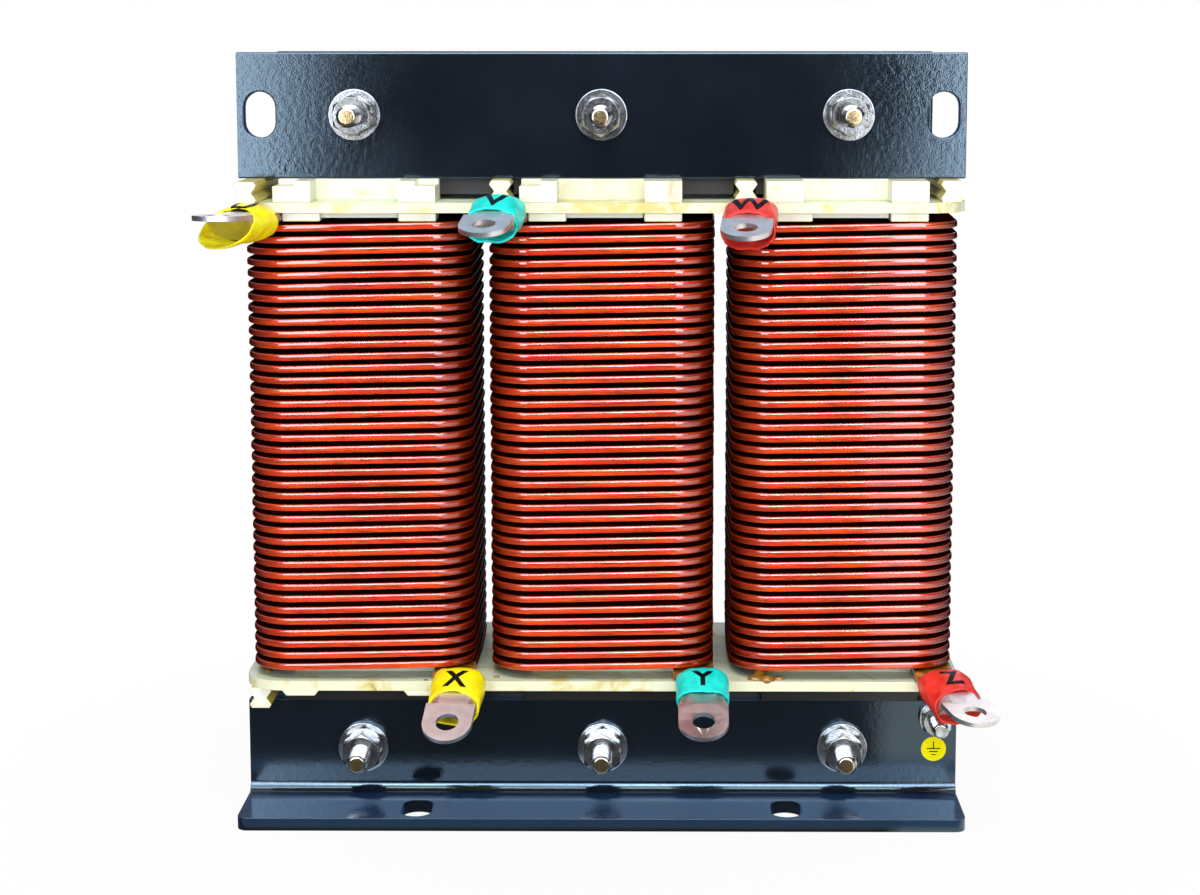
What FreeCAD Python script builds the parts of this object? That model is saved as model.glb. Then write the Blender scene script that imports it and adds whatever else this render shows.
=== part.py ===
"""Three-phase dry-type filter reactor.

Three edgewise-wound coils stand on the limbs of a gapped, laminated core. Steel
clamps bolted through the yokes hold the core, insulating end plates and press
blocks hold the coils, and each coil ends in two sleeved cable lugs.

Millimetres. X runs along the reactor, the terminals face -Y, and Z is up. The
origin is on the floor, under the middle limb.
"""

import FreeCAD
import Part
import math
import os

# Core
LIMB_WIDTH = 58.0
STACK_DEPTH = 62.0
YOKE_HEIGHT = 51.0
CORE_BLOCKS = 4
AIR_GAP = 2.0

# Clamps
CLAMP_OVERHANG = 27.5
REAR_TOP_CLAMP_OVERHANG = 19.5
CLAMP_PLATE = 6.0
TOP_CLAMP_HEIGHT = 58.6
BEND_RADIUS = 5.0
FOOT_DEPTH = 42.0
FOOT_CORNER = 5.0
FOOT_SLOT_WIDTH = 14.5
FOOT_SLOT_LENGTH = 24.0
FOOT_SLOT_SPACING = 174.0
FOOT_SLOT_FROM_EDGE = 15.5
END_SLOT_WIDTH = 14.5
END_SLOT_LENGTH = 21.5
END_SLOT_FROM_END = 10.7
END_SLOT_FLATS = 10
BOLT_PITCH = 115.0
BOLT_ABOVE_TOP_YOKE = 29.6
BOLT_ABOVE_BASE = 28.0

# Stack of insulation between the clamps
BAR_HEIGHT = 10.0
END_PLATE = 4.7
COIL_SPACE = 221.0
PLATE_OVERHANG = 20.0
PLATE_END_OVERHANG = 27.0
PLATE_CORNER = 19.5
PLATE_CLEARANCE = 0.5
BAR_WIDTH = 10.4
BAR_WAIST = 5.8
BAR_EDGE = 1.8
BAR_CHAMFER = 1.0
BAR_FROM_LIMB = 46.5
END_BAR_INSET = 7.5
BAR_SETBACK = 5.0
FIRST_BAR_STANDOUT = 10.0

# Press blocks and spacers
LEG_INNER = 20.0
LEG_WIDTH = 17.5
LEG_STEP_WIDTH = 9.5
LEG_STEP = 2.3
WALL_STANDOUT = 1.5
LIP_HEIGHT = 2.6
LIP_CHAMFER = 2.0
LIP_SETBACKS = (0.0, 10.0, 10.0)
STEPPED_LEGS = ((True, True), (True, False), (False, False))
SPACER_DEPTH = 17.0
PACKING_DEPTH = 3.5
SEAT_GAP = 0.3

# Coils
FORMER_WALL = 3.0
FORMER_CLEARANCE = 1.0
COIL_CLEARANCE = 0.75
COIL_TO_COIL = 7.6
CONDUCTOR_WIDTH = 19.2
CONDUCTOR_THICKNESS = 3.3
FULL_TURNS = 39
EXTRA_SIDES = 3

# Leads, lugs and sleeves
LEAD_THICKNESS = 4.2
LEAD_BEND = 0.6
TAIL_START = 1.5
LUG_STANDOUT = 3.0
LUG_CLEARANCE = 0.2
PALM_WIDTH = 23.0
PALM_THICKNESS = 3.2
PALM_HOLE = 10.5
HOLE_REACH = 36.5
BARREL_START = 10.5
BARREL_LENGTH = 9.5
BARREL_WIDTH = 22.0
BARREL_HEIGHT = 12.5
BARREL_SLOPE = 8.0
PALM_ROOT = 0.7
SLEEVE_START = 2.5
SLEEVE_SHOULDER = 9.5
SLEEVE_WALL = 1.2
OVAL_ROUNDNESS = 0.95
OVAL_FLATS = 2
PALM_FLATS = 6
SLEEVE_TOP_REACH = 24.0
SLEEVE_LIP_REACH = 34.0

# Fasteners
BOLT_DIAMETER = 10.0
BOLT_HOLE = 11.0
BOLT_REACH = 31.0
BOLT_HEAD = 6.4
BOLT_FLATS = 17.0
NUT_HEIGHT = 8.4
FLAT_WASHER_DIAMETER = 24.0
FLAT_WASHER = 2.5
SPRING_WASHER_DIAMETER = 17.5
SPRING_WASHER = 3.0
SPRING_WASHER_SPLIT = 1.2
THREAD_CLEARANCE = 0.1
ROUND_SIDES = 12
HOLE_SIDES = 8

# Earth terminal
EARTH_DIAMETER = 8.0
EARTH_HOLE = 9.0
EARTH_FLATS = 13.0
EARTH_NUT = 6.5
EARTH_HEAD = 5.3
EARTH_WASHER_DIAMETER = 16.0
EARTH_WASHER = 1.6
EARTH_REACH = 24.0
EARTH_FROM_END = 10.2
EARTH_BELOW_EDGE = 8.2

# Places that follow from the sizes above
STACK_HALF = STACK_DEPTH / 2
CLAMP_FACE = STACK_HALF + CLAMP_PLATE
PLATE_FRONT = CLAMP_FACE + PLATE_OVERHANG
BOTTOM_CLAMP_HEIGHT = YOKE_HEIGHT
LOWER_PLATE_Z = BOTTOM_CLAMP_HEIGHT + BAR_HEIGHT
COIL_SPACE_BOTTOM = LOWER_PLATE_Z + END_PLATE
COIL_SPACE_TOP = COIL_SPACE_BOTTOM + COIL_SPACE
UPPER_BLOCK_Z = COIL_SPACE_TOP + END_PLATE
TOP_CLAMP_Z = UPPER_BLOCK_Z + BAR_HEIGHT
OVERALL_HEIGHT = TOP_CLAMP_Z + TOP_CLAMP_HEIGHT
TOP_BOLT_Z = TOP_CLAMP_Z + BOLT_ABOVE_TOP_YOKE
BOTTOM_BOLT_Z = BOLT_ABOVE_BASE
FORMER_X = LIMB_WIDTH / 2 + FORMER_CLEARANCE + FORMER_WALL
FORMER_Y = STACK_HALF + FORMER_CLEARANCE + FORMER_WALL
COIL_INNER_X = FORMER_X + COIL_CLEARANCE
COIL_INNER_Y = FORMER_Y + COIL_CLEARANCE
COIL_OUTER_X = COIL_INNER_X + CONDUCTOR_WIDTH
COIL_OUTER_Y = COIL_INNER_Y + CONDUCTOR_WIDTH
PHASE_PITCH = 2 * COIL_OUTER_X + COIL_TO_COIL
PHASES = (-PHASE_PITCH, 0.0, PHASE_PITCH)
PHASE_NAMES = ("left", "middle", "right")
BOLTS = (-BOLT_PITCH, 0.0, BOLT_PITCH)
CORE_LENGTH = 2 * PHASE_PITCH + LIMB_WIDTH
CLAMP_LENGTH = CORE_LENGTH + 2 * CLAMP_OVERHANG
REAR_TOP_CLAMP_LENGTH = CORE_LENGTH + 2 * REAR_TOP_CLAMP_OVERHANG
PLATE_LENGTH = CORE_LENGTH + 2 * PLATE_END_OVERHANG
LEAD_FROM_LIMB = COIL_INNER_X + CONDUCTOR_WIDTH / 2
COIL_SIDES = 4 * FULL_TURNS + EXTRA_SIDES
COIL_BOTTOM = COIL_SPACE_BOTTOM + SEAT_GAP
COIL_TOP = COIL_SPACE_TOP - SEAT_GAP
SIDE_RISE = (COIL_TOP - COIL_BOTTOM - CONDUCTOR_THICKNESS) / COIL_SIDES
ROUND_CORNER_CUT = CONDUCTOR_WIDTH * math.sqrt(2 - math.pi / 2)
CORNER_RUN = CONDUCTOR_WIDTH - ROUND_CORNER_CUT

# How each lug sits on its lead: turned sideways, downwards and palm against
# barrel, in degrees, then how far it stands to the right of and above the lead
LUG_AIMS = {
    "u": (-17.0, 5.0, -4.0, -1.5, -3.1),
    "v": (-8.0, 16.0, 0.0, -2.5, 3.9),
    "w": (-6.0, 16.0, 0.0, -1.0, 3.2),
    "x": (-6.0, 23.0, 3.0, 4.0, -0.8),
    "y": (0.0, 21.0, 0.0, 4.0, -0.8),
    "z": (19.0, 15.0, -8.0, 2.0, -2.6),
}

UP = FreeCAD.Vector(0, 0, 1)
BACK = FreeCAD.Vector(0, 1, 0)
RIGHT = FreeCAD.Vector(1, 0, 0)


def box(x0, x1, y0, y1, z0, z1):
    corner = FreeCAD.Vector(x0, y0, z0)
    return Part.makeBox(x1 - x0, y1 - y0, z1 - z0, corner)


def polygon_face(points):
    vectors = [FreeCAD.Vector(*point) for point in points]
    return Part.Face(Part.makePolygon(vectors + vectors[:1]))


def rounded_rectangle(half_x, half_y, radius, z):
    """Flat face of a rectangle with round corners, about the Z axis."""
    edges = []
    corners = ((1, -1, -90), (1, 1, 0), (-1, 1, 90), (-1, -1, 180))
    arcs = []
    for sign_x, sign_y, start in corners:
        centre = FreeCAD.Vector(sign_x * (half_x - radius), sign_y * (half_y - radius), z)
        arcs.append(Part.makeCircle(radius, centre, UP, start, start + 90))
    for arc, following in zip(arcs, arcs[1:] + arcs[:1]):
        edges.append(arc)
        edges.append(Part.makeLine(arc.Vertexes[-1].Point, following.Vertexes[0].Point))
    return Part.Face(Part.Wire(Part.__sortEdges__(edges)))


def upright_slot(width, height, x, z, y0, y1):
    """Solid slot form along Y, its round ends above and below made of flats."""
    radius = width / 2
    run = height / 2 - radius
    points = []
    for shift, start in ((run, 0.0), (-run, math.pi)):
        for flat in range(END_SLOT_FLATS + 1):
            angle = start + math.pi * flat / END_SLOT_FLATS
            points.append((x + radius * math.cos(angle), y0, z + shift + radius * math.sin(angle)))
    return polygon_face(points).extrude(BACK * (y1 - y0))


def prism_y(sides, radius, x, z, y0, y1):
    """Regular prism along Y, its corners on a radius."""
    points = []
    for corner in range(sides):
        angle = 2 * math.pi * corner / sides
        points.append((x + radius * math.cos(angle), y0, z + radius * math.sin(angle)))
    return polygon_face(points).extrude(BACK * (y1 - y0))


def round_bar(diameter, x, z, y0, y1):
    """Small round bar along Y as a prism whose corners lie on the diameter."""
    return prism_y(ROUND_SIDES, diameter / 2, x, z, y0, y1)


def round_hole(diameter, x, z, y0, y1):
    """Small round hole along Y as a prism whose flats touch the diameter."""
    return prism_y(HOLE_SIDES, diameter / 2 / math.cos(math.pi / HOLE_SIDES), x, z, y0, y1)


def hexagon(flats, x, z, y0, y1):
    return prism_y(6, flats / math.sqrt(3), x, z, y0, y1)


def ring_y(outer, inner, x, z, y0, y1):
    return round_bar(outer, x, z, y0, y1).cut(round_hole(inner, x, z, y0, y1))


def closed(faces):
    """Solid from faces that meet all round."""
    shell = Part.Shell(faces)
    shell.sewShape()
    solid = Part.Solid(shell)
    if solid.Volume < 0:
        solid.reverse()
    return solid


def skinned(sections):
    """Solid with flat faces over sections that have the same number of points."""
    faces = [polygon_face(sections[0]), polygon_face(sections[-1])]
    for first, second in zip(sections, sections[1:]):
        following = first[1:] + first[:1]
        ahead = second[1:] + second[:1]
        for corners in zip(first, following, ahead, second):
            faces.append(polygon_face(corners[:3]))
            faces.append(polygon_face((corners[0],) + corners[2:]))
    return closed(faces).removeSplitter()


def mirror_y(shape):
    return shape.mirror(FreeCAD.Vector(0, 0, 0), BACK)


def shifted(shape, x=0.0, y=0.0, z=0.0):
    copy = shape.copy()
    copy.translate(FreeCAD.Vector(x, y, z))
    return copy


def bolt_holes(shape, diameter, y0, y1, z):
    for x in BOLTS:
        shape = shape.cut(round_hole(diameter, x, z, y0, y1))
    return shape


# Core
def yoke(z, bolt_z):
    half = CORE_LENGTH / 2
    block = box(-half, half, -STACK_HALF, STACK_HALF, z, z + YOKE_HEIGHT)
    return bolt_holes(block, BOLT_HOLE, -STACK_HALF, STACK_HALF, bolt_z)


def limb(x):
    """One limb as stacked core blocks, with a gap plate at both ends and between them."""
    height = TOP_CLAMP_Z - YOKE_HEIGHT
    block_height = (height - (CORE_BLOCKS + 1) * AIR_GAP) / CORE_BLOCKS
    half = LIMB_WIDTH / 2
    blocks = []
    gaps = []
    z = YOKE_HEIGHT
    for _ in range(CORE_BLOCKS):
        gaps.append(box(x - half, x + half, -STACK_HALF, STACK_HALF, z, z + AIR_GAP))
        z += AIR_GAP
        blocks.append(box(x - half, x + half, -STACK_HALF, STACK_HALF, z, z + block_height))
        z += block_height
    gaps.append(box(x - half, x + half, -STACK_HALF, STACK_HALF, z, TOP_CLAMP_Z))
    return blocks, gaps


# Clamps
def top_clamp(length):
    half = length / 2
    plate = box(-half, half, -CLAMP_FACE, -STACK_HALF, TOP_CLAMP_Z, OVERALL_HEIGHT)
    return bolt_holes(plate, BOLT_HOLE, -CLAMP_FACE, -STACK_HALF, TOP_BOLT_Z)


def slotted_top_clamp():
    clamp = top_clamp(CLAMP_LENGTH)
    slot_x = CLAMP_LENGTH / 2 - END_SLOT_FROM_END
    for x in (-slot_x, slot_x):
        slot = upright_slot(END_SLOT_WIDTH, END_SLOT_LENGTH, x, TOP_BOLT_Z, -CLAMP_FACE, -STACK_HALF)
        clamp = clamp.cut(slot)
    return clamp


def bent_section():
    """Section of the lower clamp in the YZ plane: web, bend and foot."""
    outer = BEND_RADIUS + CLAMP_PLATE
    foot_edge = -CLAMP_FACE - FOOT_DEPTH
    bend_y = -STACK_HALF - outer
    bend = FreeCAD.Vector(0, bend_y, outer)
    x = -CLAMP_LENGTH / 2
    outer_arc = Part.makeCircle(outer, bend, RIGHT, 270, 360)
    inner_arc = Part.makeCircle(BEND_RADIUS, bend, RIGHT, 270, 360)
    points = [
        (foot_edge, 0), (bend_y, 0), (-STACK_HALF, outer), (-STACK_HALF, BOTTOM_CLAMP_HEIGHT),
        (-CLAMP_FACE, BOTTOM_CLAMP_HEIGHT), (-CLAMP_FACE, outer), (bend_y, CLAMP_PLATE),
        (foot_edge, CLAMP_PLATE),
    ]
    corners = [FreeCAD.Vector(0, y, z) for y, z in points]
    edges = [Part.makeLine(corners[0], corners[1]), outer_arc]
    edges += [Part.makeLine(corners[i], corners[i + 1]) for i in (2, 3, 4)]
    edges += [inner_arc, Part.makeLine(corners[6], corners[7]), Part.makeLine(corners[7], corners[0])]
    face = Part.Face(Part.Wire(Part.__sortEdges__(edges)))
    return shifted(face, x=x)


def foot_slot(x):
    """Slot through the foot, long way front to back, for the floor bolts."""
    y = -CLAMP_FACE - FOOT_DEPTH + FOOT_SLOT_FROM_EDGE
    radius = FOOT_SLOT_WIDTH / 2
    run = FOOT_SLOT_LENGTH / 2 - radius
    ends = []
    for shift in (-run, run):
        ends.append(Part.makeCylinder(radius, CLAMP_PLATE, FreeCAD.Vector(x, y + shift, 0), UP))
    middle = box(x - radius, x + radius, y - run, y + run, 0, CLAMP_PLATE)
    return middle.fuse(ends).removeSplitter()


def bottom_clamp():
    clamp = bent_section().extrude(RIGHT * CLAMP_LENGTH)
    front = -CLAMP_FACE - FOOT_DEPTH
    corners = []
    for edge in clamp.Edges:
        upright = edge.BoundBox.ZLength > CLAMP_PLATE / 2
        if upright and edge.BoundBox.YMax < front + SEAT_GAP:
            corners.append(edge)
    clamp = clamp.makeFillet(FOOT_CORNER, corners)
    for x in (-FOOT_SLOT_SPACING / 2, FOOT_SLOT_SPACING / 2):
        clamp = clamp.cut(foot_slot(x))
    return bolt_holes(clamp, BOLT_HOLE, -CLAMP_FACE, -STACK_HALF, BOTTOM_BOLT_Z)


def earth_place():
    x = CLAMP_LENGTH / 2 - EARTH_FROM_END
    z = BOTTOM_CLAMP_HEIGHT - EARTH_BELOW_EDGE
    return x, z


def earthed_bottom_clamp():
    """Front lower clamp, with the hole for the earth bolt."""
    x, z = earth_place()
    return bottom_clamp().cut(round_hole(EARTH_HOLE, x, z, -CLAMP_FACE, -STACK_HALF))


# Insulation
def end_plate(z):
    plate = rounded_rectangle(PLATE_LENGTH / 2, PLATE_FRONT, PLATE_CORNER, z).extrude(UP * END_PLATE)
    half_x = LIMB_WIDTH / 2 + PLATE_CLEARANCE
    half_y = STACK_HALF + PLATE_CLEARANCE
    for x in PHASES:
        plate = plate.cut(box(x - half_x, x + half_x, -half_y, half_y, z, z + END_PLATE))
    return plate


def former(x):
    """Insulating tube round a limb, from end plate to end plate."""
    outer = box(x - FORMER_X, x + FORMER_X, -FORMER_Y, FORMER_Y, COIL_SPACE_BOTTOM, COIL_SPACE_TOP)
    inner_x = FORMER_X - FORMER_WALL
    inner_y = FORMER_Y - FORMER_WALL
    bore = box(x - inner_x, x + inner_x, -inner_y, inner_y, COIL_SPACE_BOTTOM, COIL_SPACE_TOP)
    return outer.cut(bore)


def stay_bar(x, z, front):
    """Dog-bone bar, run front to back between an end plate and its clamps."""
    half = BAR_WIDTH / 2
    foot = half - BAR_CHAMFER
    waist = BAR_WAIST / 2
    side = [(foot, 0), (half, BAR_EDGE), (waist, BAR_HEIGHT / 2), (half, BAR_HEIGHT - BAR_EDGE)]
    side.append((foot, BAR_HEIGHT))
    outline = side + [(-across, up) for across, up in reversed(side)]
    back = PLATE_FRONT - BAR_SETBACK
    section = polygon_face([(x + across, -front, z + up) for across, up in outline])
    return section.extrude(BACK * (front + back))


def stay_bars(z, mirrored):
    """Bars beside the leads of the middle and the last coil, and one at each end."""
    sign = -1 if mirrored else 1
    end = PLATE_LENGTH / 2 - END_BAR_INSET
    places = [-end] + [sign * (x - BAR_FROM_LIMB) for x in PHASES[1:]] + [end]
    bars = []
    for x in places:
        first = x == -end and not mirrored
        front = PLATE_FRONT + FIRST_BAR_STANDOUT if first else PLATE_FRONT - BAR_SETBACK
        bars.append(stay_bar(x, z, front))
    return bars


def press_leg(side, stepped):
    """Leg of an upper press block, with its outer part lower where it is stepped."""
    inner = LEG_INNER
    outer = LEG_INNER + LEG_WIDTH
    shoulder = outer - LEG_STEP_WIDTH
    low = BAR_HEIGHT - LEG_STEP
    outline = [(inner, 0), (outer, 0)]
    if stepped:
        outline += [(outer, low), (shoulder, low), (shoulder, BAR_HEIGHT)]
    else:
        outline += [(outer, BAR_HEIGHT)]
    outline += [(inner, BAR_HEIGHT)]
    points = [(side * across, -PLATE_FRONT, UPPER_BLOCK_Z + up) for across, up in outline]
    depth = PLATE_FRONT - CLAMP_FACE - WALL_STANDOUT
    return polygon_face(points).extrude(BACK * depth)


def block_wall(z):
    reach = LEG_INNER + LEG_WIDTH
    front = CLAMP_FACE + WALL_STANDOUT
    return box(-reach, reach, -front, -STACK_HALF - SEAT_GAP, z, z + BAR_HEIGHT)


def upper_press_block(stepped):
    legs = [press_leg(-1, stepped[0]), press_leg(1, stepped[1])]
    return block_wall(UPPER_BLOCK_Z).fuse(legs).removeSplitter()


def lower_press_block(setback):
    """Press block under the lower plate: a wall on the clamp, with two thin lips in front."""
    lips = []
    for side in (-1, 1):
        inner = LEG_INNER
        outer = LEG_INNER + LEG_WIDTH
        outline = [(inner, 0), (inner + LIP_CHAMFER, -LIP_HEIGHT)]
        outline += [(outer - LIP_CHAMFER, -LIP_HEIGHT), (outer, 0)]
        front = PLATE_FRONT - setback
        points = [(side * across, -front, LOWER_PLATE_Z + up) for across, up in outline]
        depth = front - CLAMP_FACE - WALL_STANDOUT
        lips.append(polygon_face(points).extrude(BACK * depth))
    return block_wall(BOTTOM_CLAMP_HEIGHT).fuse(lips).removeSplitter()


def side_height(side, fraction):
    """Underside of the conductor along one side of the helix."""
    return COIL_BOTTOM + SIDE_RISE * (side + fraction)


def corner_spacers():
    """Posts between each coil's last turn and the upper plate, at its four corners.

    The left ones stand inside the lead and the last turn's rise.
    """
    front_side = COIL_SIDES - 4
    back_side = COIL_SIDES - 2
    posts = []
    for x in PHASES:
        for sign_x, outer in ((-1, COIL_INNER_X - SEAT_GAP), (1, LEG_INNER + LEG_WIDTH)):
            for sign_y, side in ((-1, front_side), (1, back_side)):
                near = x + sign_x * (outer - LEG_WIDTH)
                far = x + sign_x * outer
                highest = side_height(side, 1.0) + CONDUCTOR_THICKNESS + SEAT_GAP
                y_out = sign_y * COIL_OUTER_Y
                y_in = sign_y * (COIL_OUTER_Y - SPACER_DEPTH)
                post = box(min(near, far), max(near, far), min(y_in, y_out), max(y_in, y_out),
                           highest, COIL_SPACE_TOP)
                posts.append(post)
    return posts


def lower_packing():
    """Strips between the lower plate and each coil's first turn, front, back and left."""
    strips = []
    for x in PHASES:
        for sign_y, side in ((-1, 3), (1, 1)):
            top = side_height(side, 0.0) - SEAT_GAP
            y_in = sign_y * COIL_INNER_Y
            y_out = sign_y * (COIL_INNER_Y + PACKING_DEPTH)
            strips.append(box(x - COIL_INNER_X, x + COIL_INNER_X, min(y_in, y_out), max(y_in, y_out),
                              COIL_SPACE_BOTTOM, top))
        left = x - COIL_INNER_X
        reach = COIL_INNER_Y - PACKING_DEPTH
        top = side_height(2, 0.0) - SEAT_GAP
        strips.append(box(left - PACKING_DEPTH, left, -reach, reach, COIL_SPACE_BOTTOM, top))
    return strips


# Coils
def coil(x):
    """Flat conductor wound on edge as one helix.

    Each side climbs by the same step, so every face is flat. A round corner is one
    flat that cuts off as much as the round would. The winding starts at the front
    right corner below and ends at the front left corner above, where the leads go on.
    """
    corners = [
        (COIL_INNER_X, -COIL_INNER_Y), (COIL_INNER_X, COIL_INNER_Y),
        (-COIL_INNER_X, COIL_INNER_Y), (-COIL_INNER_X, -COIL_INNER_Y),
    ]

    def lifted(point, lift):
        return (point[0], point[1], point[2] + lift)

    def wall(first, second):
        raised = [lifted(point, CONDUCTOR_THICKNESS) for point in (second, first)]
        return polygon_face([first, second] + raised)

    def rim(corner, along, run):
        x_rim = corner[0] + along[1] * CONDUCTOR_WIDTH + along[0] * run
        y_rim = corner[1] - along[0] * CONDUCTOR_WIDTH + along[1] * run
        return x_rim, y_rim

    faces = []
    rim_end = None
    for side in range(COIL_SIDES):
        start = corners[side % 4]
        end = corners[(side + 1) % 4]
        length = math.dist(start, end)
        along = ((end[0] - start[0]) / length, (end[1] - start[1]) / length)
        first_run = CORNER_RUN if side > 0 else 0.0
        last_run = CORNER_RUN if side < COIL_SIDES - 1 else 0.0
        near_start = (*start, side_height(side, 0.0))
        near_end = (*end, side_height(side, 1.0))
        far_start = (*rim(start, along, -first_run), side_height(side, -first_run / length))
        far_end = (*rim(end, along, last_run), side_height(side, 1.0 + last_run / length))
        levels = [[near_start, far_start, far_end, near_end]]
        if rim_end:
            levels.append([near_start, rim_end, far_start])
            faces.append(wall(rim_end, far_start))
        for outline in levels:
            for lift in (0.0, CONDUCTOR_THICKNESS):
                faces.append(polygon_face([lifted(point, lift) for point in outline]))
        faces.append(wall(near_start, near_end))
        faces.append(wall(far_start, far_end))
        if side == 0:
            faces.append(wall(near_start, far_start))
        if side == COIL_SIDES - 1:
            faces.append(wall(near_end, far_end))
        rim_end = far_end
    return shifted(closed(faces), x=x)


# Terminals
def terminal_place(name):
    """Centre of the lead at the lug, where it leaves the coil."""
    index = "uvwxyz".index(name)
    x = PHASES[index % 3]
    if index < 3:
        return x - LEAD_FROM_LIMB, COIL_TOP - LEAD_THICKNESS / 2
    return x + LEAD_FROM_LIMB, COIL_BOTTOM + LEAD_THICKNESS / 2


def aimed(shape, name):
    """Puts a shape from the lug's own frame on its lead.

    In the lug's own frame the lug points along X, its palm is level and the middle
    of its barrel is the origin's height.
    """
    sideways, down, _, shift, lift = LUG_AIMS[name]
    x, z = terminal_place(name)
    placed = shape.copy()
    placed.rotate(FreeCAD.Vector(0, 0, 0), BACK, down)
    placed.rotate(FreeCAD.Vector(0, 0, 0), UP, sideways - 90)
    placed.translate(FreeCAD.Vector(x + shift, -PLATE_FRONT - LUG_STANDOUT, z + lift))
    return placed


def oval(width, height, corner, x_top, x_bottom):
    """Corners of an outline across X in the lug's own frame, upright or slanted."""
    points = []
    for sign_y, sign_z, start in ((1, 1, 0), (-1, 1, 90), (-1, -1, 180), (1, -1, 270)):
        for flat in range(OVAL_FLATS + 1):
            angle = math.radians(start + 90 * flat / OVAL_FLATS)
            y = sign_y * (width / 2 - corner) + corner * math.cos(angle)
            z = sign_z * (height / 2 - corner) + corner * math.sin(angle)
            points.append((x_bottom + (x_top - x_bottom) * (z / BARREL_HEIGHT + 0.5), y, z))
    return points


def full_oval(margin, x_top, x_bottom):
    """Barrel's outline, wider all round by a margin."""
    corner = (BARREL_HEIGHT / 2 + margin) * OVAL_ROUNDNESS
    return oval(BARREL_WIDTH + 2 * margin, BARREL_HEIGHT + 2 * margin, corner, x_top, x_bottom)


def palm(root):
    """Flat palm with a round end and its hole, level with the barrel's top."""
    top = BARREL_HEIGHT / 2
    radius = PALM_WIDTH / 2
    outline = [(root, -radius)]
    for flat in range(PALM_FLATS + 1):
        angle = math.pi * (flat / PALM_FLATS - 0.5)
        outline.append((HOLE_REACH + radius * math.cos(angle), radius * math.sin(angle)))
    outline.append((root, radius))
    plate = polygon_face([(x, y, top - PALM_THICKNESS) for x, y in outline]).extrude(UP * PALM_THICKNESS)
    centre = FreeCAD.Vector(HOLE_REACH, 0, top - PALM_THICKNESS)
    return plate.cut(Part.makeCylinder(PALM_HOLE / 2, PALM_THICKNESS, centre, UP))


def lug(name):
    """Cable lug: oval barrel, sloped into a flat palm."""
    top = BARREL_HEIGHT / 2
    half = BARREL_WIDTH / 2
    barrel_end = BARREL_START + BARREL_LENGTH
    slope_end = barrel_end + BARREL_SLOPE
    barrel = skinned([full_oval(0.0, x, x) for x in (BARREL_START, slope_end)])
    profile = [(BARREL_START, -top), (barrel_end, -top), (slope_end, top - PALM_THICKNESS)]
    profile += [(slope_end, top), (BARREL_START, top)]
    barrel = barrel.common(polygon_face([(x, -half, z) for x, z in profile]).extrude(BACK * BARREL_WIDTH))
    socket_y = CONDUCTOR_WIDTH / 2 + LUG_CLEARANCE
    socket_z = LEAD_THICKNESS / 2 + LUG_CLEARANCE
    socket = box(BARREL_START, barrel_end, -socket_y, socket_y, -socket_z, socket_z)
    flat = palm(slope_end - PALM_ROOT)
    flat.rotate(FreeCAD.Vector(slope_end, 0, top), BACK, LUG_AIMS[name][2])
    return aimed(barrel.cut(socket).fuse(flat).removeSplitter(), name)


def sleeve_form(margin):
    """Closed form from a neck round the lead to the full oval, with a slanted mouth."""
    neck = oval(CONDUCTOR_WIDTH + 2 * margin, LEAD_THICKNESS + 2 * margin, margin, SLEEVE_START, SLEEVE_START)
    shoulder = full_oval(margin, SLEEVE_SHOULDER, SLEEVE_SHOULDER)
    mouth = full_oval(margin, SLEEVE_TOP_REACH, SLEEVE_LIP_REACH)
    return skinned([neck, shoulder, mouth])


def sleeve(name):
    """Soft sleeve over the barrel and the lead's end."""
    hollow = sleeve_form(LUG_CLEARANCE)
    return aimed(sleeve_form(LUG_CLEARANCE + SLEEVE_WALL).cut(hollow), name)


def lead(name):
    """Taped end of the winding: out past the end plate, bent, and into the lug."""
    x, z = terminal_place(name)
    half = CONDUCTOR_WIDTH / 2
    thick = LEAD_THICKNESS / 2
    bend = -PLATE_FRONT - LEAD_BEND
    across = ((-half, -thick), (half, -thick), (half, thick), (-half, thick))
    bar = [[(x + dx, y, z + dz) for dx, dz in across] for y in (-COIL_INNER_Y, bend)]
    tail = []
    for reach in (TAIL_START, BARREL_START + BARREL_LENGTH - SEAT_GAP):
        outline = aimed(Part.makePolygon([FreeCAD.Vector(reach, dx, dz) for dx, dz in across]), name)
        tail.append([tuple(vertex.Point) for vertex in outline.Vertexes])
    return skinned(bar + tail)


# Fasteners
def bolt(x, z):
    """Hexagon-head bolt from behind, its end standing out in front."""
    shank = round_bar(BOLT_DIAMETER, x, z, -CLAMP_FACE - BOLT_REACH, CLAMP_FACE)
    return shank.fuse(hexagon(BOLT_FLATS, x, z, CLAMP_FACE, CLAMP_FACE + BOLT_HEAD)).removeSplitter()


def bolt_places():
    return [(x, z) for z in (BOTTOM_BOLT_Z, TOP_BOLT_Z) for x in BOLTS]


def flat_washer(x, z):
    return ring_y(FLAT_WASHER_DIAMETER, BOLT_HOLE, x, z, -CLAMP_FACE - FLAT_WASHER, -CLAMP_FACE)


def spring_washer(x, z):
    back = -CLAMP_FACE - FLAT_WASHER
    front = back - SPRING_WASHER
    inner = BOLT_DIAMETER + 2 * THREAD_CLEARANCE
    ring = ring_y(SPRING_WASHER_DIAMETER, inner, x, z, front, back)
    half = SPRING_WASHER_SPLIT / 2
    split = box(x, x + SPRING_WASHER_DIAMETER, front, back, z - half, z + half)
    return ring.cut(split)


def nut(x, z):
    back = -CLAMP_FACE - FLAT_WASHER - SPRING_WASHER
    front = back - NUT_HEIGHT
    hole = round_hole(BOLT_DIAMETER + 2 * THREAD_CLEARANCE, x, z, front, back)
    return hexagon(BOLT_FLATS, x, z, front, back).cut(hole)


def earth_nut_front():
    return -CLAMP_FACE - 2 * EARTH_WASHER - EARTH_NUT


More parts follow.
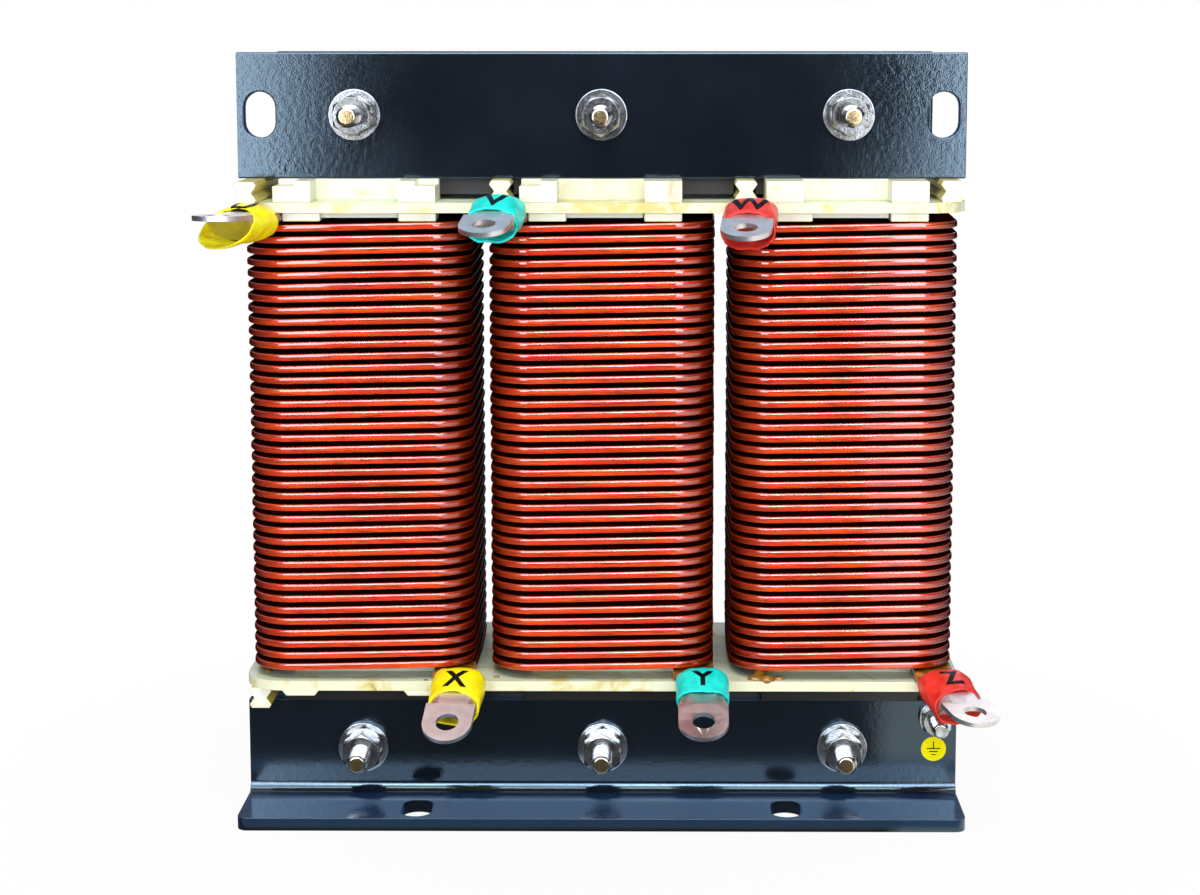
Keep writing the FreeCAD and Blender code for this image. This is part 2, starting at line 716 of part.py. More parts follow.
def earth_bolt():
    """Bolt from behind the clamp, its free end round, where the earth wire's lug goes on."""
    x, z = earth_place()
    end = -CLAMP_FACE - EARTH_REACH
    held = round_bar(EARTH_DIAMETER, x, z, earth_nut_front(), -STACK_HALF)
    free = Part.makeCylinder(EARTH_DIAMETER / 2, earth_nut_front() - end, FreeCAD.Vector(x, end, z), BACK)
    head = hexagon(EARTH_FLATS, x, z, -STACK_HALF, -STACK_HALF + EARTH_HEAD)
    return held.fuse([free, head]).removeSplitter()


def earth_washers():
    """Two flat washers for the earth wire's lug to sit between, on the clamp."""
    x, z = earth_place()
    rings = []
    for step in (0, 1):
        back = -CLAMP_FACE - step * EARTH_WASHER
        rings.append(ring_y(EARTH_WASHER_DIAMETER, EARTH_HOLE, x, z, back - EARTH_WASHER, back))
    return rings


def earth_nut():
    x, z = earth_place()
    front = earth_nut_front()
    back = front + EARTH_NUT
    hole = round_hole(EARTH_DIAMETER + 2 * THREAD_CLEARANCE, x, z, front, back)
    return hexagon(EARTH_FLATS, x, z, front, back).cut(hole)


def all_pieces():
    """Every sub-part by name, as the list of its solids."""
    pieces = {
        "top_yoke": [yoke(TOP_CLAMP_Z, TOP_BOLT_Z)],
        "bottom_yoke": [yoke(0.0, BOTTOM_BOLT_Z)],
        "top_clamp_front": [slotted_top_clamp()],
        "top_clamp_rear": [mirror_y(top_clamp(REAR_TOP_CLAMP_LENGTH))],
        "bottom_clamp_front": [earthed_bottom_clamp()],
        "bottom_clamp_rear": [mirror_y(bottom_clamp())],
        "upper_end_plate": [end_plate(COIL_SPACE_TOP)],
        "lower_end_plate": [end_plate(LOWER_PLATE_Z)],
        "upper_stay_bars": stay_bars(UPPER_BLOCK_Z, False),
        "lower_stay_bars": stay_bars(BOTTOM_CLAMP_HEIGHT, True),
        "upper_corner_spacers": corner_spacers(),
        "lower_coil_packing": lower_packing(),
        "clamp_bolts": [bolt(x, z) for x, z in bolt_places()],
        "clamp_flat_washers": [flat_washer(x, z) for x, z in bolt_places()],
        "clamp_spring_washers": [spring_washer(x, z) for x, z in bolt_places()],
        "clamp_nuts": [nut(x, z) for x, z in bolt_places()],
        "earth_bolt": [earth_bolt()],
        "earth_washers": earth_washers(),
        "earth_nut": [earth_nut()],
    }
    for name, x in zip(PHASE_NAMES, PHASES):
        blocks, gaps = limb(x)
        pieces[f"limb_blocks_{name}"] = blocks
        pieces[f"gap_plates_{name}"] = gaps
        pieces[f"former_{name}"] = [former(x)]
        pieces[f"coil_{name}"] = [coil(x)]
    upper = [shifted(upper_press_block(steps), x=x) for steps, x in zip(STEPPED_LEGS, PHASES)]
    lower = [shifted(lower_press_block(setback), x=x) for setback, x in zip(LIP_SETBACKS, PHASES)]
    pieces["upper_press_blocks_front"] = upper
    pieces["upper_press_blocks_rear"] = [mirror_y(block) for block in upper]
    pieces["lower_press_blocks_front"] = lower
    pieces["lower_press_blocks_rear"] = [mirror_y(block) for block in lower]
    for name in LUG_AIMS:
        pieces[f"lug_{name}"] = [lug(name)]
        pieces[f"lug_sleeve_{name}"] = [sleeve(name)]
        pieces[f"lead_{name}"] = [lead(name)]
    return pieces


def main():
    os.makedirs("parts", exist_ok=True)
    for name, solids in all_pieces().items():
        shape = solids[0] if len(solids) == 1 else Part.makeCompound(solids)
        shape.exportStep(f"parts/{name}.step")


main()
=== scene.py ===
"""Looks of the three-phase filter reactor: enamelled windings, powder-coated clamps,
insulating boards, sleeved cable lugs and zinc-plated fasteners.

New pieces are modelled in millimetres and get their place, in metres, at the end.
"""

import math
import random
from contextlib import contextmanager

import bpy
from mathutils import Matrix, Vector


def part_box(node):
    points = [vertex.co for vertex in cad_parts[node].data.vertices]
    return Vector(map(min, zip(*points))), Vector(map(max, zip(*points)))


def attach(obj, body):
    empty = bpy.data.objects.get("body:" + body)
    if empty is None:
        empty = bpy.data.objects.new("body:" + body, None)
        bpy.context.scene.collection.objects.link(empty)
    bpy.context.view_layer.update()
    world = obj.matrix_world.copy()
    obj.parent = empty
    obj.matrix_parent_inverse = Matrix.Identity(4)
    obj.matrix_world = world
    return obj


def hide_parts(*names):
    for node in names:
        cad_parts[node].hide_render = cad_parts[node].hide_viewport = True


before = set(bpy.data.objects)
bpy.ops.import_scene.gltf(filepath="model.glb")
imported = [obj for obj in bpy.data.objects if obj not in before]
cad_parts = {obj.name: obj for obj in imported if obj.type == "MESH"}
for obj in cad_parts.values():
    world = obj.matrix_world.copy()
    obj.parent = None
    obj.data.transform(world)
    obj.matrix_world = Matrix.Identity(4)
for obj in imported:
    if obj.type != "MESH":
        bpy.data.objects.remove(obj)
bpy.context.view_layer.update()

MM = 0.001
IDENTITY = Matrix.Identity(4)

# Clamps, core, plates and coils, as the frame has them
CLAMP_FACE = -1000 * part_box("top_clamp_front")[0].y
CLAMP_PLATE = 6.0
BOLT_PITCH = 115.0
BOLT_HEIGHTS = (28.0, 331.0)
PLATE_FRONT = -1000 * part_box("lower_end_plate")[0].y
COIL_BOTTOM = 1000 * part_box("coil_left")[0].z
COIL_TOP = 1000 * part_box("coil_left")[1].z
COIL_INNER_Y = 35.75
STACK_HALF = 31.0
LIMB_WIDTH = 58.0
BAR_FROM_LIMB = 46.5
BAR_WIDTH = 10.4
WALL_STANDOUT = 1.5
CLEARANCE = 0.2
LEAD_FROM_LIMB = 43.35
PHASES = {"left": -113.5, "middle": 0.0, "right": 113.5}

# Dark core-steel bands past the clamps, between the limbs: 1 with the stay bar left of its limb or -1 with
# it right of it, then lower and upper level
DARK_BANDS = ((1, 293.8, 301.4), (-1, 51.0, 59.0))

# White strips under the upper plate
STRIP_HALF = 19.5
STRIP_FRONT = 51.0
STRIP_WALL = 1.5
STRIP_HEIGHT = 2.6

# Winding: section of the conductor, its middle line around a limb, and how uneven it lies
CONDUCTOR_WIDTH = 19.2
CONDUCTOR_THICKNESS = 3.3
CONDUCTOR_EDGE = 1.0
EDGE_STEPS = 3
COIL_SIDES = 159
LINE_X = LEAD_FROM_LIMB
LINE_Y = COIL_INNER_Y + CONDUCTOR_WIDTH / 2
LINE_CORNER = 10.3
CORNER_STEPS = 8
STRAIGHT_STEPS = 4
SIDE_BOW = 0.45
TURN_UNEVEN = 0.13
TURN_STANDOUT = 0.16

# Lugs and sleeves, in the lug's own frame: X runs out along the lug and Z is up
LEAD_THICKNESS = 4.2
LUG_STANDOUT = 3.0
PALM_WIDTH = 23.0
PALM_THICKNESS = 2.3
PALM_HOLE = 10.5
HOLE_REACH = 36.5
BARREL_START = 10.5
BARREL_END = 20.0
SLOPE_END = 28.0
PALM_OVERLAP = 3.0
BARREL_WIDTH = 22.0
BARREL_HEIGHT = 12.5
PALM_EDGE = 0.75

# Sleeves in the same frame: place, width and height of each ring, how far out the top and
# the lip of each sleeve reach, and how far the wrinkles move on from one sleeve to the next
SLEEVE_SECTIONS = ((-1.0, 21.0, 8.0), (-0.2, 22.8, 11.6), (1.4, 24.2, 15.0), (4.2, 25.0, 17.4),
                   (8.5, 25.2, 18.0), (13.0, 24.6, 17.2), (18.0, 24.4, 16.0), (24.0, 24.6, 15.2),
                   (32.0, 25.0, 15.2), (50.0, 25.4, 15.4))
SLEEVE_ROUNDNESS = 0.85
SLEEVE_REACH = {"u": (17.0, 41.0), "v": (20.0, 25.0), "w": (20.0, 30.0),
                "x": (18.0, 25.0), "y": (18.0, 17.0), "z": (19.0, 25.0)}
SLEEVE_WALL = 1.2
SLEEVE_WRINKLE = 1.7
WRINKLE_SIZE = 5.0
WRINKLE_SHIFT = Vector((40.0, 28.0, 16.0))
RING_POINTS = 40

# Taped leads
LEAD_EDGE = 0.9
LEAD_GRAIN = 0.7
LUMP_SIZE = 3.0
LUMP_DEPTH = 0.5

# Printed letters: height and place along the lug
UPPER_LETTER = (11.0, 12.2)
LOWER_LETTER = (9.5, 10.6)
CAPITAL_SHARE = 0.7
LETTER_WEIGHT = 0.45
INK_LIFT = 0.2
INK_FILM = 0.1

# How each lug sits on its lead: turned sideways, downwards and palm against barrel,
# in degrees, then how far it stands to the right of and above the lead
LUG_AIMS = {
    "u": (-17.0, 3.0, -5.0, -1.5, -0.9),
    "v": (-8.0, 16.0, 0.0, -2.5, 4.7),
    "w": (-6.0, 16.0, 0.0, -1.0, 3.2),
    "x": (-6.0, 27.0, 3.0, 4.0, 0.4),
    "y": (0.0, 26.0, 0.0, 4.0, 0.4),
    "z": (19.0, 19.0, -8.0, 2.0, -0.9),
}

# Fasteners: washers have outer and inner diameter and thickness
CLAMP_BOLT = {"diameter": 10.0, "shank": 8.2, "pitch": 1.5, "chamfer": 1.2,
              "flats": 17.0, "head": 6.4, "nut": 8.4}
EARTH_BOLT = {"diameter": 8.0, "shank": 6.4, "pitch": 1.25, "chamfer": 1.0,
              "flats": 13.0, "head": 5.3, "nut": 6.5}
FLAT_WASHER = (24.0, 11.0, 2.5)
SPRING_WASHER = (17.5, 10.2, 3.0)
EARTH_WASHER = (16.0, 9.0, 1.6)
BOLT_REACH = 31.0
EARTH_REACH = 24.0
THREAD_IN_BORE = 0.4
THREAD_IN_NUT = 1.0
NUT_TURNED = 0.995
NUT_CHAMFER = 0.07
NUT_EDGE = 0.22
WASHER_EDGE = 0.35
SPRING_EDGE = 0.25
SPLIT_RISE = 0.5
SPLIT_GAP = 10.0
SPLIT_STEPS = 48

# Thread: shares of the pitch, the core past the ridge's foot, and steps in a turn
RIDGE_START = 0.55
RIDGE_SHORTER = 1.1
THREAD_DEPTH = 0.61
RIDGE_FOOT = 0.46
RIDGE_CREST = 0.07
CORE_MARGIN = 0.06
THREAD_STEPS = 28

# Earth bolt and label on the clamp's face, and the strokes of the earth symbol: middle and size
EARTH_PLACE = (159.8, 42.8)
LABEL_PLACE = (159.2, 27.2)
LABEL_DIAMETER = 12.0
LABEL_FILM = 0.15
LABEL_INK = 0.08
EARTH_STROKES = ((0.0, 1.9, 0.5, 3.4), (0.0, 0.2, 6.4, 0.55), (0.0, -1.3, 4.2, 0.55), (0.0, -2.8, 2.0, 0.55))

# Varnish drops on the lower plate: place, radius and height
VARNISH_DROPS = (
    (72.0, -53.0, 4.2, 2.4), (78.0, -54.5, 4.8, 2.8), (84.0, -52.5, 3.2, 2.0), (75.0, -50.0, 4.4, 5.0),
    (-83.0, -55.5, 1.6, 0.6), (-50.0, -50.0, 1.8, 1.0), (47.0, -51.0, 2.0, 1.2), (-160.0, -40.0, 2.2, 1.4),
)
DROP_SPREAD = 1.35
DROP_DEPTH = 0.8

# Light strips in front, in metres: place along X and width
LIGHT_STRIPS = ((-0.344, 0.06), (-0.231, 0.04), (0.016, 0.11), (0.154, 0.04), (0.282, 0.06))

# Camera, in metres and degrees
CAMERA_PLACE = (0.0244, -1.150, 0.369)
CAMERA_DOWN = 7.34
CAMERA_LEFT = 0.42
CAMERA_LENS = 71.48
CAMERA_SHIFT = (-0.0303, -0.09)


# Small tools for modelling
def deselect_all():
    bpy.ops.object.select_all(action="DESELECT")


def make_active(piece):
    deselect_all()
    piece.select_set(True)
    bpy.context.view_layer.objects.active = piece


def linked(name, data):
    piece = bpy.data.objects.new(name, data)
    bpy.context.scene.collection.objects.link(piece)
    return piece


def named(name):
    """Gives the object just made its piece's name."""
    piece = bpy.context.object
    piece.name = name
    piece.data.name = name
    return piece


def modify(piece, kind, **settings):
    """Adds a modifier with its settings and applies it."""
    modifier = piece.modifiers.new(kind, kind)
    for name, value in settings.items():
        setattr(modifier, name, value)
    make_active(piece)
    bpy.ops.object.modifier_apply(modifier=modifier.name)


@contextmanager
def edit_mode(piece):
    """Edit mode, with all of the mesh selected."""
    make_active(piece)
    bpy.ops.object.mode_set(mode="EDIT")
    bpy.ops.mesh.select_all(action="SELECT")
    yield
    bpy.ops.object.mode_set(mode="OBJECT")


def apply_place(piece):
    """Moves the object's own place, turn and scale into its mesh."""
    make_active(piece)
    bpy.ops.object.transform_apply(location=True, rotation=True, scale=True)


def block(name, low, high):
    """Plain block between two corners."""
    middle = [(a + b) / 2 for a, b in zip(low, high)]
    size = [b - a for a, b in zip(low, high)]
    bpy.ops.mesh.primitive_cube_add(size=1.0, location=middle, scale=size)
    piece = named(name)
    apply_place(piece)
    return piece


def cylinder(name, diameter, bottom, top, points=48, x=0.0):
    """Upright cylinder between two levels, with its middle line at X."""
    bpy.ops.mesh.primitive_cylinder_add(vertices=points, radius=diameter / 2, depth=top - bottom,
                                        location=(x, 0, (bottom + top) / 2))
    piece = named(name)
    apply_place(piece)
    return piece


def cut_with(piece, tool, operation):
    """Boolean with a tool that is used up."""
    modify(piece, "BOOLEAN", operation=operation, solver="EXACT", object=tool)
    bpy.data.objects.remove(tool)


def round_edges(piece, width, segments=2, angle=35.0):
    modify(piece, "BEVEL", width=width, segments=segments, limit_method="ANGLE",
           angle_limit=math.radians(angle), harden_normals=False)


def smooth(piece, angle=40.0):
    """Smooth shading up to an angle between faces, with large flat faces kept flat."""
    make_active(piece)
    bpy.ops.object.shade_smooth_by_angle(angle=math.radians(angle))
    modify(piece, "WEIGHTED_NORMAL", keep_sharp=True)


def crumple(piece, name, size, strength):
    """Pushes a surface in and out in lumps of about a size."""
    clouds = bpy.data.textures.new(name, "CLOUDS")
    clouds.noise_scale = size
    clouds.noise_depth = 2
    modify(piece, "DISPLACE", texture=clouds, strength=strength)


def mend_normals(piece):
    with edit_mode(piece):
        bpy.ops.mesh.remove_doubles(threshold=0.001)
        bpy.ops.mesh.normals_make_consistent(inside=False)


def join_pieces(pieces, name):
    deselect_all()
    for piece in pieces:
        piece.select_set(True)
    bpy.context.view_layer.objects.active = pieces[0]
    if len(pieces) > 1:
        bpy.ops.object.join()
    return named(name)


def copies(piece, places, name):
    """One piece of several equal solids, each at its place."""
    made = []
    for place in places:
        copy = linked(name, piece.data.copy())
        copy.data.transform(place)
        made.append(copy)
    bpy.data.objects.remove(piece)
    return join_pieces(made, name)


def paint(piece, material):
    piece.data.materials.clear()
    piece.data.materials.append(material)


def finish_piece(piece, material, replaced=(), place=IDENTITY):
    """Turns a piece from millimetres to metres at its place, and ties it to the frame."""
    piece.data.transform(Matrix.Scale(MM, 4) @ place)
    piece.data.update()
    paint(piece, material)
    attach(piece, "root")
    if replaced:
        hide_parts(*replaced)
    return piece


def node_copy(node, name):
    """Millimetre copy of a solid of the frame, its flat faces whole again."""
    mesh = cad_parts[node].data.copy()
    mesh.transform(Matrix.Scale(1 / MM, 4))
    piece = linked(name, mesh)
    make_active(piece)
    bpy.ops.mesh.customdata_custom_splitnormals_clear()
    with edit_mode(piece):
        bpy.ops.mesh.remove_doubles(threshold=0.001)
        bpy.ops.mesh.dissolve_limited(angle_limit=math.radians(0.5))
    return piece


def rounded_node(node, name, material, width, segments=2, angle=35.0):
    """A solid of the frame with its sharp edges rounded, in its own place."""
    piece = node_copy(node, name)
    round_edges(piece, width, segments, angle)
    smooth(piece, 30.0)
    return finish_piece(piece, material, (node,))


def straight_curve(name, points, closed=False):
    curve = bpy.data.curves.new(name, "CURVE")
    curve.dimensions = "3D"
    spline = curve.splines.new("POLY")
    spline.points.add(len(points) - 1)
    for point, place in zip(spline.points, points):
        point.co = (*place, 1.0)
    spline.use_cyclic_u = closed
    return linked(name, curve)


def swept(name, path, section):
    """Closed solid of a section that follows a path and stays upright."""
    line = straight_curve(name, path)
    profile = straight_curve(name + "_section", [(x, y, 0.0) for x, y in section], closed=True)
    line.data.bevel_mode = "OBJECT"
    line.data.bevel_object = profile
    line.data.use_fill_caps = True
    line.data.twist_mode = "Z_UP"
    make_active(line)
    bpy.ops.object.convert(target="MESH")
    piece = named(name)
    bpy.data.objects.remove(profile)
    mend_normals(piece)
    return piece


# Materials
def colour(code):
    """An sRGB hex value as the linear colour that a shader takes."""
    channels = [int(code[start:start + 2], 16) / 255 for start in (1, 3, 5)]
    return (*(c / 12.92 if c <= 0.04045 else ((c + 0.055) / 1.055) ** 2.4 for c in channels), 1.0)


def per_metre(size):
    """Texture scale of a pattern whose features are this many millimetres."""
    return 1000.0 / size


def add(tree, kind, links=None, **settings):
    """Adds a node with its settings. Links give each input a value, a socket, or a node, which
    stands for the first of its outputs in use."""
    node = tree.nodes.new("ShaderNode" + kind)
    for name, value in settings.items():
        setattr(node, name, value)
    for socket, value in (links or {}).items():
        if isinstance(value, bpy.types.Node):
            value = next(output for output in value.outputs if output.enabled)
        if isinstance(value, bpy.types.NodeSocket):
            tree.links.new(value, node.inputs[socket])
        else:
            node.inputs[socket].default_value = value
    return node


def new_material(name):
    """Empty material, its tree, and the Object coordinates that its patterns read."""
    material = bpy.data.materials.new(name)
    material.use_nodes = True
    tree = material.node_tree
    tree.nodes.clear()
    return material, tree, add(tree, "TexCoord").outputs["Object"]


def black_powder_coat():
    """Glossy black polyester powder coat on mild steel: orange peel, and a faint blue haze."""
    material, tree, place = new_material("black_powder_coat")
    peel = add(tree, "TexNoise", {"Vector": place, "Scale": per_metre(2.4), "Detail": 3.0})
    grit = add(tree, "TexNoise", {"Vector": place, "Scale": per_metre(0.7), "Detail": 1.0})
    haze = add(tree, "TexNoise",
               {"Vector": place, "Scale": per_metre(70.0), "Detail": 3.0, "Roughness": 0.5})
    gloss = add(tree, "MapRange",
                {"Value": haze, "From Min": 0.35, "From Max": 0.7, "To Min": 0.08, "To Max": 0.14})
    tint = add(tree, "Mix", {0: haze, 6: colour("#0C0F14"), 7: colour("#171D26")}, data_type="RGBA")
    fine = add(tree, "Bump", {"Strength": 0.1, "Distance": 0.0002, "Height": grit})
    bump = add(tree, "Bump", {"Strength": 0.1, "Distance": 0.0004, "Height": peel, "Normal": fine})
    shader = add(tree, "BsdfPrincipled", {"Base Color": tint, "Roughness": gloss, "IOR": 1.8,
                                          "Sheen Weight": 0.3, "Sheen Roughness": 0.4,
                                          "Sheen Tint": colour("#5A96F0"),
                                          "Specular Tint": colour("#D2F0FF"), "Normal": bump})
    add(tree, "OutputMaterial", {"Surface": shader})
    return material


def wire_enamel():
    """Polyester-imide enamel over flat copper, varnished: glossy orange-red, with painted shade:
    brown towards the sides of each coil and nearly black on the turns' upper and lower faces,
    between the turns. Also streaks and thin dark lines along them."""
    material, tree, place = new_material("wire_enamel")
    lengthwise = add(tree, "Mapping", {"Vector": place, "Scale": (0.5, 0.5, 9.0)})
    streak = add(tree, "TexNoise", {"Vector": lengthwise, "Scale": per_metre(22.0), "Detail": 3.0})
    patch = add(tree, "TexNoise", {"Vector": place, "Scale": per_metre(60.0), "Detail": 2.0})
    facing = add(tree, "SeparateXYZ", {"Vector": add(tree, "NewGeometry").outputs["Normal"]})
    sideways = add(tree, "Math", {0: facing.outputs["X"]}, operation="ABSOLUTE")
    upwards = add(tree, "Math", {0: facing.outputs["Z"]}, operation="ABSOLUTE")
    tone = add(tree, "MapRange", {"Value": streak, "From Min": 0.35, "From Max": 0.68})
    base = add(tree, "Mix", {0: tone, 6: colour("#D63206"), 7: colour("#F8540E")}, data_type="RGBA")
    # Darker brown patches at random.
    darker_patch = add(tree, "MapRange", {"Value": patch, "From Min": 0.55, "From Max": 0.75, "To Max": 0.3})
    mixed = add(tree, "Mix", {0: darker_patch, 6: base, 7: colour("#7A2A10")}, data_type="RGBA")
    # Painted shade: brown darkening as the surface turns sideways, towards each coil's sides.
    painted_side_shade = add(tree, "MapRange", {"Value": sideways, "From Min": 0.08, "From Max": 0.85, "To Max": 0.93})
    side_shaded = add(tree, "Mix", {0: painted_side_shade, 6: mixed, 7: colour("#240A06")}, data_type="RGBA")
    # Painted shade: nearly black on upward and downward faces, in the gaps between the turns.
    painted_gap_shade = add(tree, "MapRange", {"Value": upwards, "From Min": 0.8, "From Max": 0.97, "To Max": 0.95})
    dark = add(tree, "Mix", {0: painted_gap_shade, 6: side_shaded, 7: colour("#120505")}, data_type="RGBA")
    thread = add(tree, "TexNoise", {"Vector": lengthwise, "Scale": per_metre(5.0), "Detail": 2.0})
    line = add(tree, "MapRange", {"Value": thread, "From Min": 0.52, "From Max": 0.68, "To Max": 0.6})
    lined = add(tree, "Mix", {0: line, 6: dark, 7: colour("#4A1206")}, data_type="RGBA")
    turned = add(tree, "Math", {0: sideways, 1: painted_gap_shade}, operation="MAXIMUM")
    gloss = add(tree, "MapRange",
                {"Value": turned, "From Min": 0.4, "From Max": 0.9, "To Min": 1.0, "To Max": 0.0})
    sheen = add(tree, "Math", {0: gloss, 1: 0.08}, operation="MULTIPLY")
    ripple = add(tree, "TexNoise", {"Vector": lengthwise, "Scale": per_metre(9.0), "Detail": 2.0})
    bump = add(tree, "Bump", {"Strength": 0.12, "Distance": 0.0003, "Height": ripple})
    shader = add(tree, "BsdfPrincipled", {"Base Color": lined, "Roughness": 0.4, "Specular IOR Level": sheen,
                                          "Coat Weight": gloss, "Coat Roughness": 0.06, "Coat IOR": 1.95,
                                          "Normal": bump})
    add(tree, "OutputMaterial", {"Surface": shader})
    return material


def glass_board(name, face, edge, stain_amount, axis="Z"):
    """Epoxy glass board, sawn and varnished: pale faces, yellower cut edges, yellow underneath, and
    brown varnish runs, more of them near the middle limb."""
    material, tree, place = new_material(name)
    cloud = add(tree, "TexNoise",
                {"Vector": place, "Scale": per_metre(30.0), "Detail": 5.0, "Roughness": 0.55})
    run = add(tree, "TexNoise",
              {"Vector": place, "Scale": per_metre(13.0), "Detail": 4.0, "Distortion": 0.8})
    weave = add(tree, "TexNoise", {"Vector": place, "Scale": per_metre(0.8), "Detail": 2.0})
    facing = add(tree, "SeparateXYZ", {"Vector": add(tree, "NewGeometry").outputs["Normal"]})
    along = add(tree, "Math", {0: facing.outputs[axis]}, operation="ABSOLUTE")
    surface = add(tree, "MapRange", {"Value": along, "From Min": 0.3, "From Max": 0.9})
    sawn = add(tree, "Mix", {0: surface, 6: colour(edge), 7: colour(face)}, data_type="RGBA")
    under = add(tree, "MapRange", {"Value": facing.outputs["Z"], "From Min": -0.8, "From Max": -0.1,
                                   "To Min": 1.0, "To Max": 0.0})
    plain = add(tree, "Mix", {0: under, 6: sawn, 7: colour("#E8D400")}, data_type="RGBA")
    tone = add(tree, "MapRange", {"Value": cloud, "From Min": 0.35, "From Max": 0.65, "To Max": 0.5})
    base = add(tree, "Mix", {0: tone, 6: plain, 7: colour("#E9E6C0")}, data_type="RGBA")
    spot = add(tree, "SeparateXYZ", {"Vector": place})
    across = add(tree, "Math", {0: spot.outputs["X"]}, operation="ABSOLUTE")
    middle = add(tree, "MapRange", {"Value": across, "From Min": 0.02, "From Max": 0.06,
                                    "To Min": 0.16 * stain_amount, "To Max": 0.0})
    runs = add(tree, "Math", {0: run, 1: middle}, operation="ADD")
    soaked = add(tree, "MapRange",
                 {"Value": runs, "From Min": 0.56, "From Max": 0.68, "To Max": stain_amount})
    yellowed = add(tree, "Mix", {0: soaked, 6: base, 7: colour("#DCC65A")}, data_type="RGBA")
    stain = add(tree, "MapRange", {"Value": run, "From Min": 0.7, "From Max": 0.74, "To Max": stain_amount})
    stained = add(tree, "Mix", {0: stain, 6: yellowed, 7: colour("#9A6A1E")}, data_type="RGBA")
    bump = add(tree, "Bump", {"Strength": 0.12, "Distance": 0.0002, "Height": weave})
    shader = add(tree, "BsdfPrincipled", {"Base Color": stained, "Roughness": 0.38, "IOR": 1.5,
                                          "Subsurface Weight": 0.12,
                                          "Subsurface Radius": (0.002, 0.002, 0.001), "Coat Weight": 0.2,
                                          "Coat Roughness": 0.15, "Normal": bump})
    add(tree, "OutputMaterial", {"Surface": shader})
    return material


def former_with_painted_shade():
    """White board, painted dark below the coil's top as painted shade where the turns cover it."""
    material, tree, place = new_material("former_board")
    height = add(tree, "SeparateXYZ", {"Vector": place})
    # Painted shade: dark below the coil's top, white above it.
    unshaded = add(tree, "MapRange", {"Value": height.outputs["Z"], "From Min": MM * (COIL_TOP - 1.5),
                                  "From Max": MM * (COIL_TOP - 0.5)})
    base = add(tree, "Mix", {0: unshaded, 6: colour("#0B0604"), 7: colour("#E8E8DC")}, data_type="RGBA")
    shader = add(tree, "BsdfPrincipled", {"Base Color": base, "Roughness": 0.6, "Specular IOR Level": 0.1})
    add(tree, "OutputMaterial", {"Surface": shader})
    return material


def plated_metal(name, pale, dark, roughness, bump_strength, cut_end):
    """Zinc or tin plate: bright grey metal, faintly clouded, with handling marks. The bolts' cut ends in
    front are tinted tan."""
    material, tree, place = new_material(name)
    cloud = add(tree, "TexNoise", {"Vector": place, "Scale": per_metre(6.0), "Detail": 4.0})
    scratch = add(tree, "TexNoise", {"Vector": place, "Scale": per_metre(0.9), "Detail": 3.0})
    tone = add(tree, "MapRange", {"Value": cloud, "From Min": 0.35, "From Max": 0.65})
    base = add(tree, "Mix", {0: tone, 6: colour(dark), 7: colour(pale)}, data_type="RGBA")
    depth = add(tree, "SeparateXYZ", {"Vector": place})
    end = CLAMP_FACE + BOLT_REACH
    tip = add(tree, "MapRange", {"Value": depth.outputs["Y"], "From Min": -MM * (end - 0.4),
                                 "From Max": -MM * (end - 0.1), "To Max": cut_end})
    tipped = add(tree, "Mix", {0: tip, 6: base, 7: colour("#DCC08E")}, data_type="RGBA")
    rough = add(tree, "MapRange", {"Value": scratch, "From Min": 0.3, "From Max": 0.7,
                                   "To Min": roughness - 0.06, "To Max": roughness + 0.06})
    bump = add(tree, "Bump", {"Strength": bump_strength, "Distance": 0.0002, "Height": scratch})
    shader = add(tree, "BsdfPrincipled",
                 {"Base Color": tipped, "Metallic": 1.0, "Roughness": rough, "Normal": bump})
    add(tree, "OutputMaterial", {"Surface": shader})
    return material


def soft_vinyl(name, main, shade):
    """Dipped soft PVC: even, half-glossy, with darker patches painted as shade in the creases, and a slight
    glow of light in it.
    """
    material, tree, place = new_material(name)
    crease_shade = add(tree, "TexNoise", {"Vector": place, "Scale": per_metre(7.0), "Detail": 3.0})
    grain = add(tree, "TexNoise", {"Vector": place, "Scale": per_metre(1.2), "Detail": 2.0})
    tone = add(tree, "MapRange", {"Value": crease_shade, "From Min": 0.3, "From Max": 0.6})
    base = add(tree, "Mix", {0: tone, 6: colour(shade), 7: colour(main)}, data_type="RGBA")
    bump = add(tree, "Bump", {"Strength": 0.15, "Distance": 0.0003, "Height": grain})
    shader = add(tree, "BsdfPrincipled", {"Base Color": base, "Roughness": 0.36, "IOR": 1.42,
                                          "Subsurface Weight": 0.1,
                                          "Subsurface Radius": (0.002, 0.001, 0.001), "Normal": bump})
    add(tree, "OutputMaterial", {"Surface": shader})
    return material


def varnished_tape():
    """Woven polyester tape soaked in brown baking varnish: glossy, uneven, nearly opaque."""
    material, tree, place = new_material("varnished_tape")
    cloud = add(tree, "TexNoise", {"Vector": place, "Scale": per_metre(5.0), "Detail": 4.0})
    weave = add(tree, "TexNoise", {"Vector": place, "Scale": per_metre(0.7), "Detail": 2.0})
    tone = add(tree, "MapRange", {"Value": cloud, "From Min": 0.35, "From Max": 0.65})
    base = add(tree, "Mix", {0: tone, 6: colour("#6A3405"), 7: colour("#C27A14")}, data_type="RGBA")
    bump = add(tree, "Bump", {"Strength": 0.4, "Distance": 0.0003, "Height": weave})
    shader = add(tree, "BsdfPrincipled", {"Base Color": base, "Roughness": 0.3, "Coat Weight": 0.8,
                                          "Coat Roughness": 0.1, "Normal": bump})
    add(tree, "OutputMaterial", {"Surface": shader})
    return material


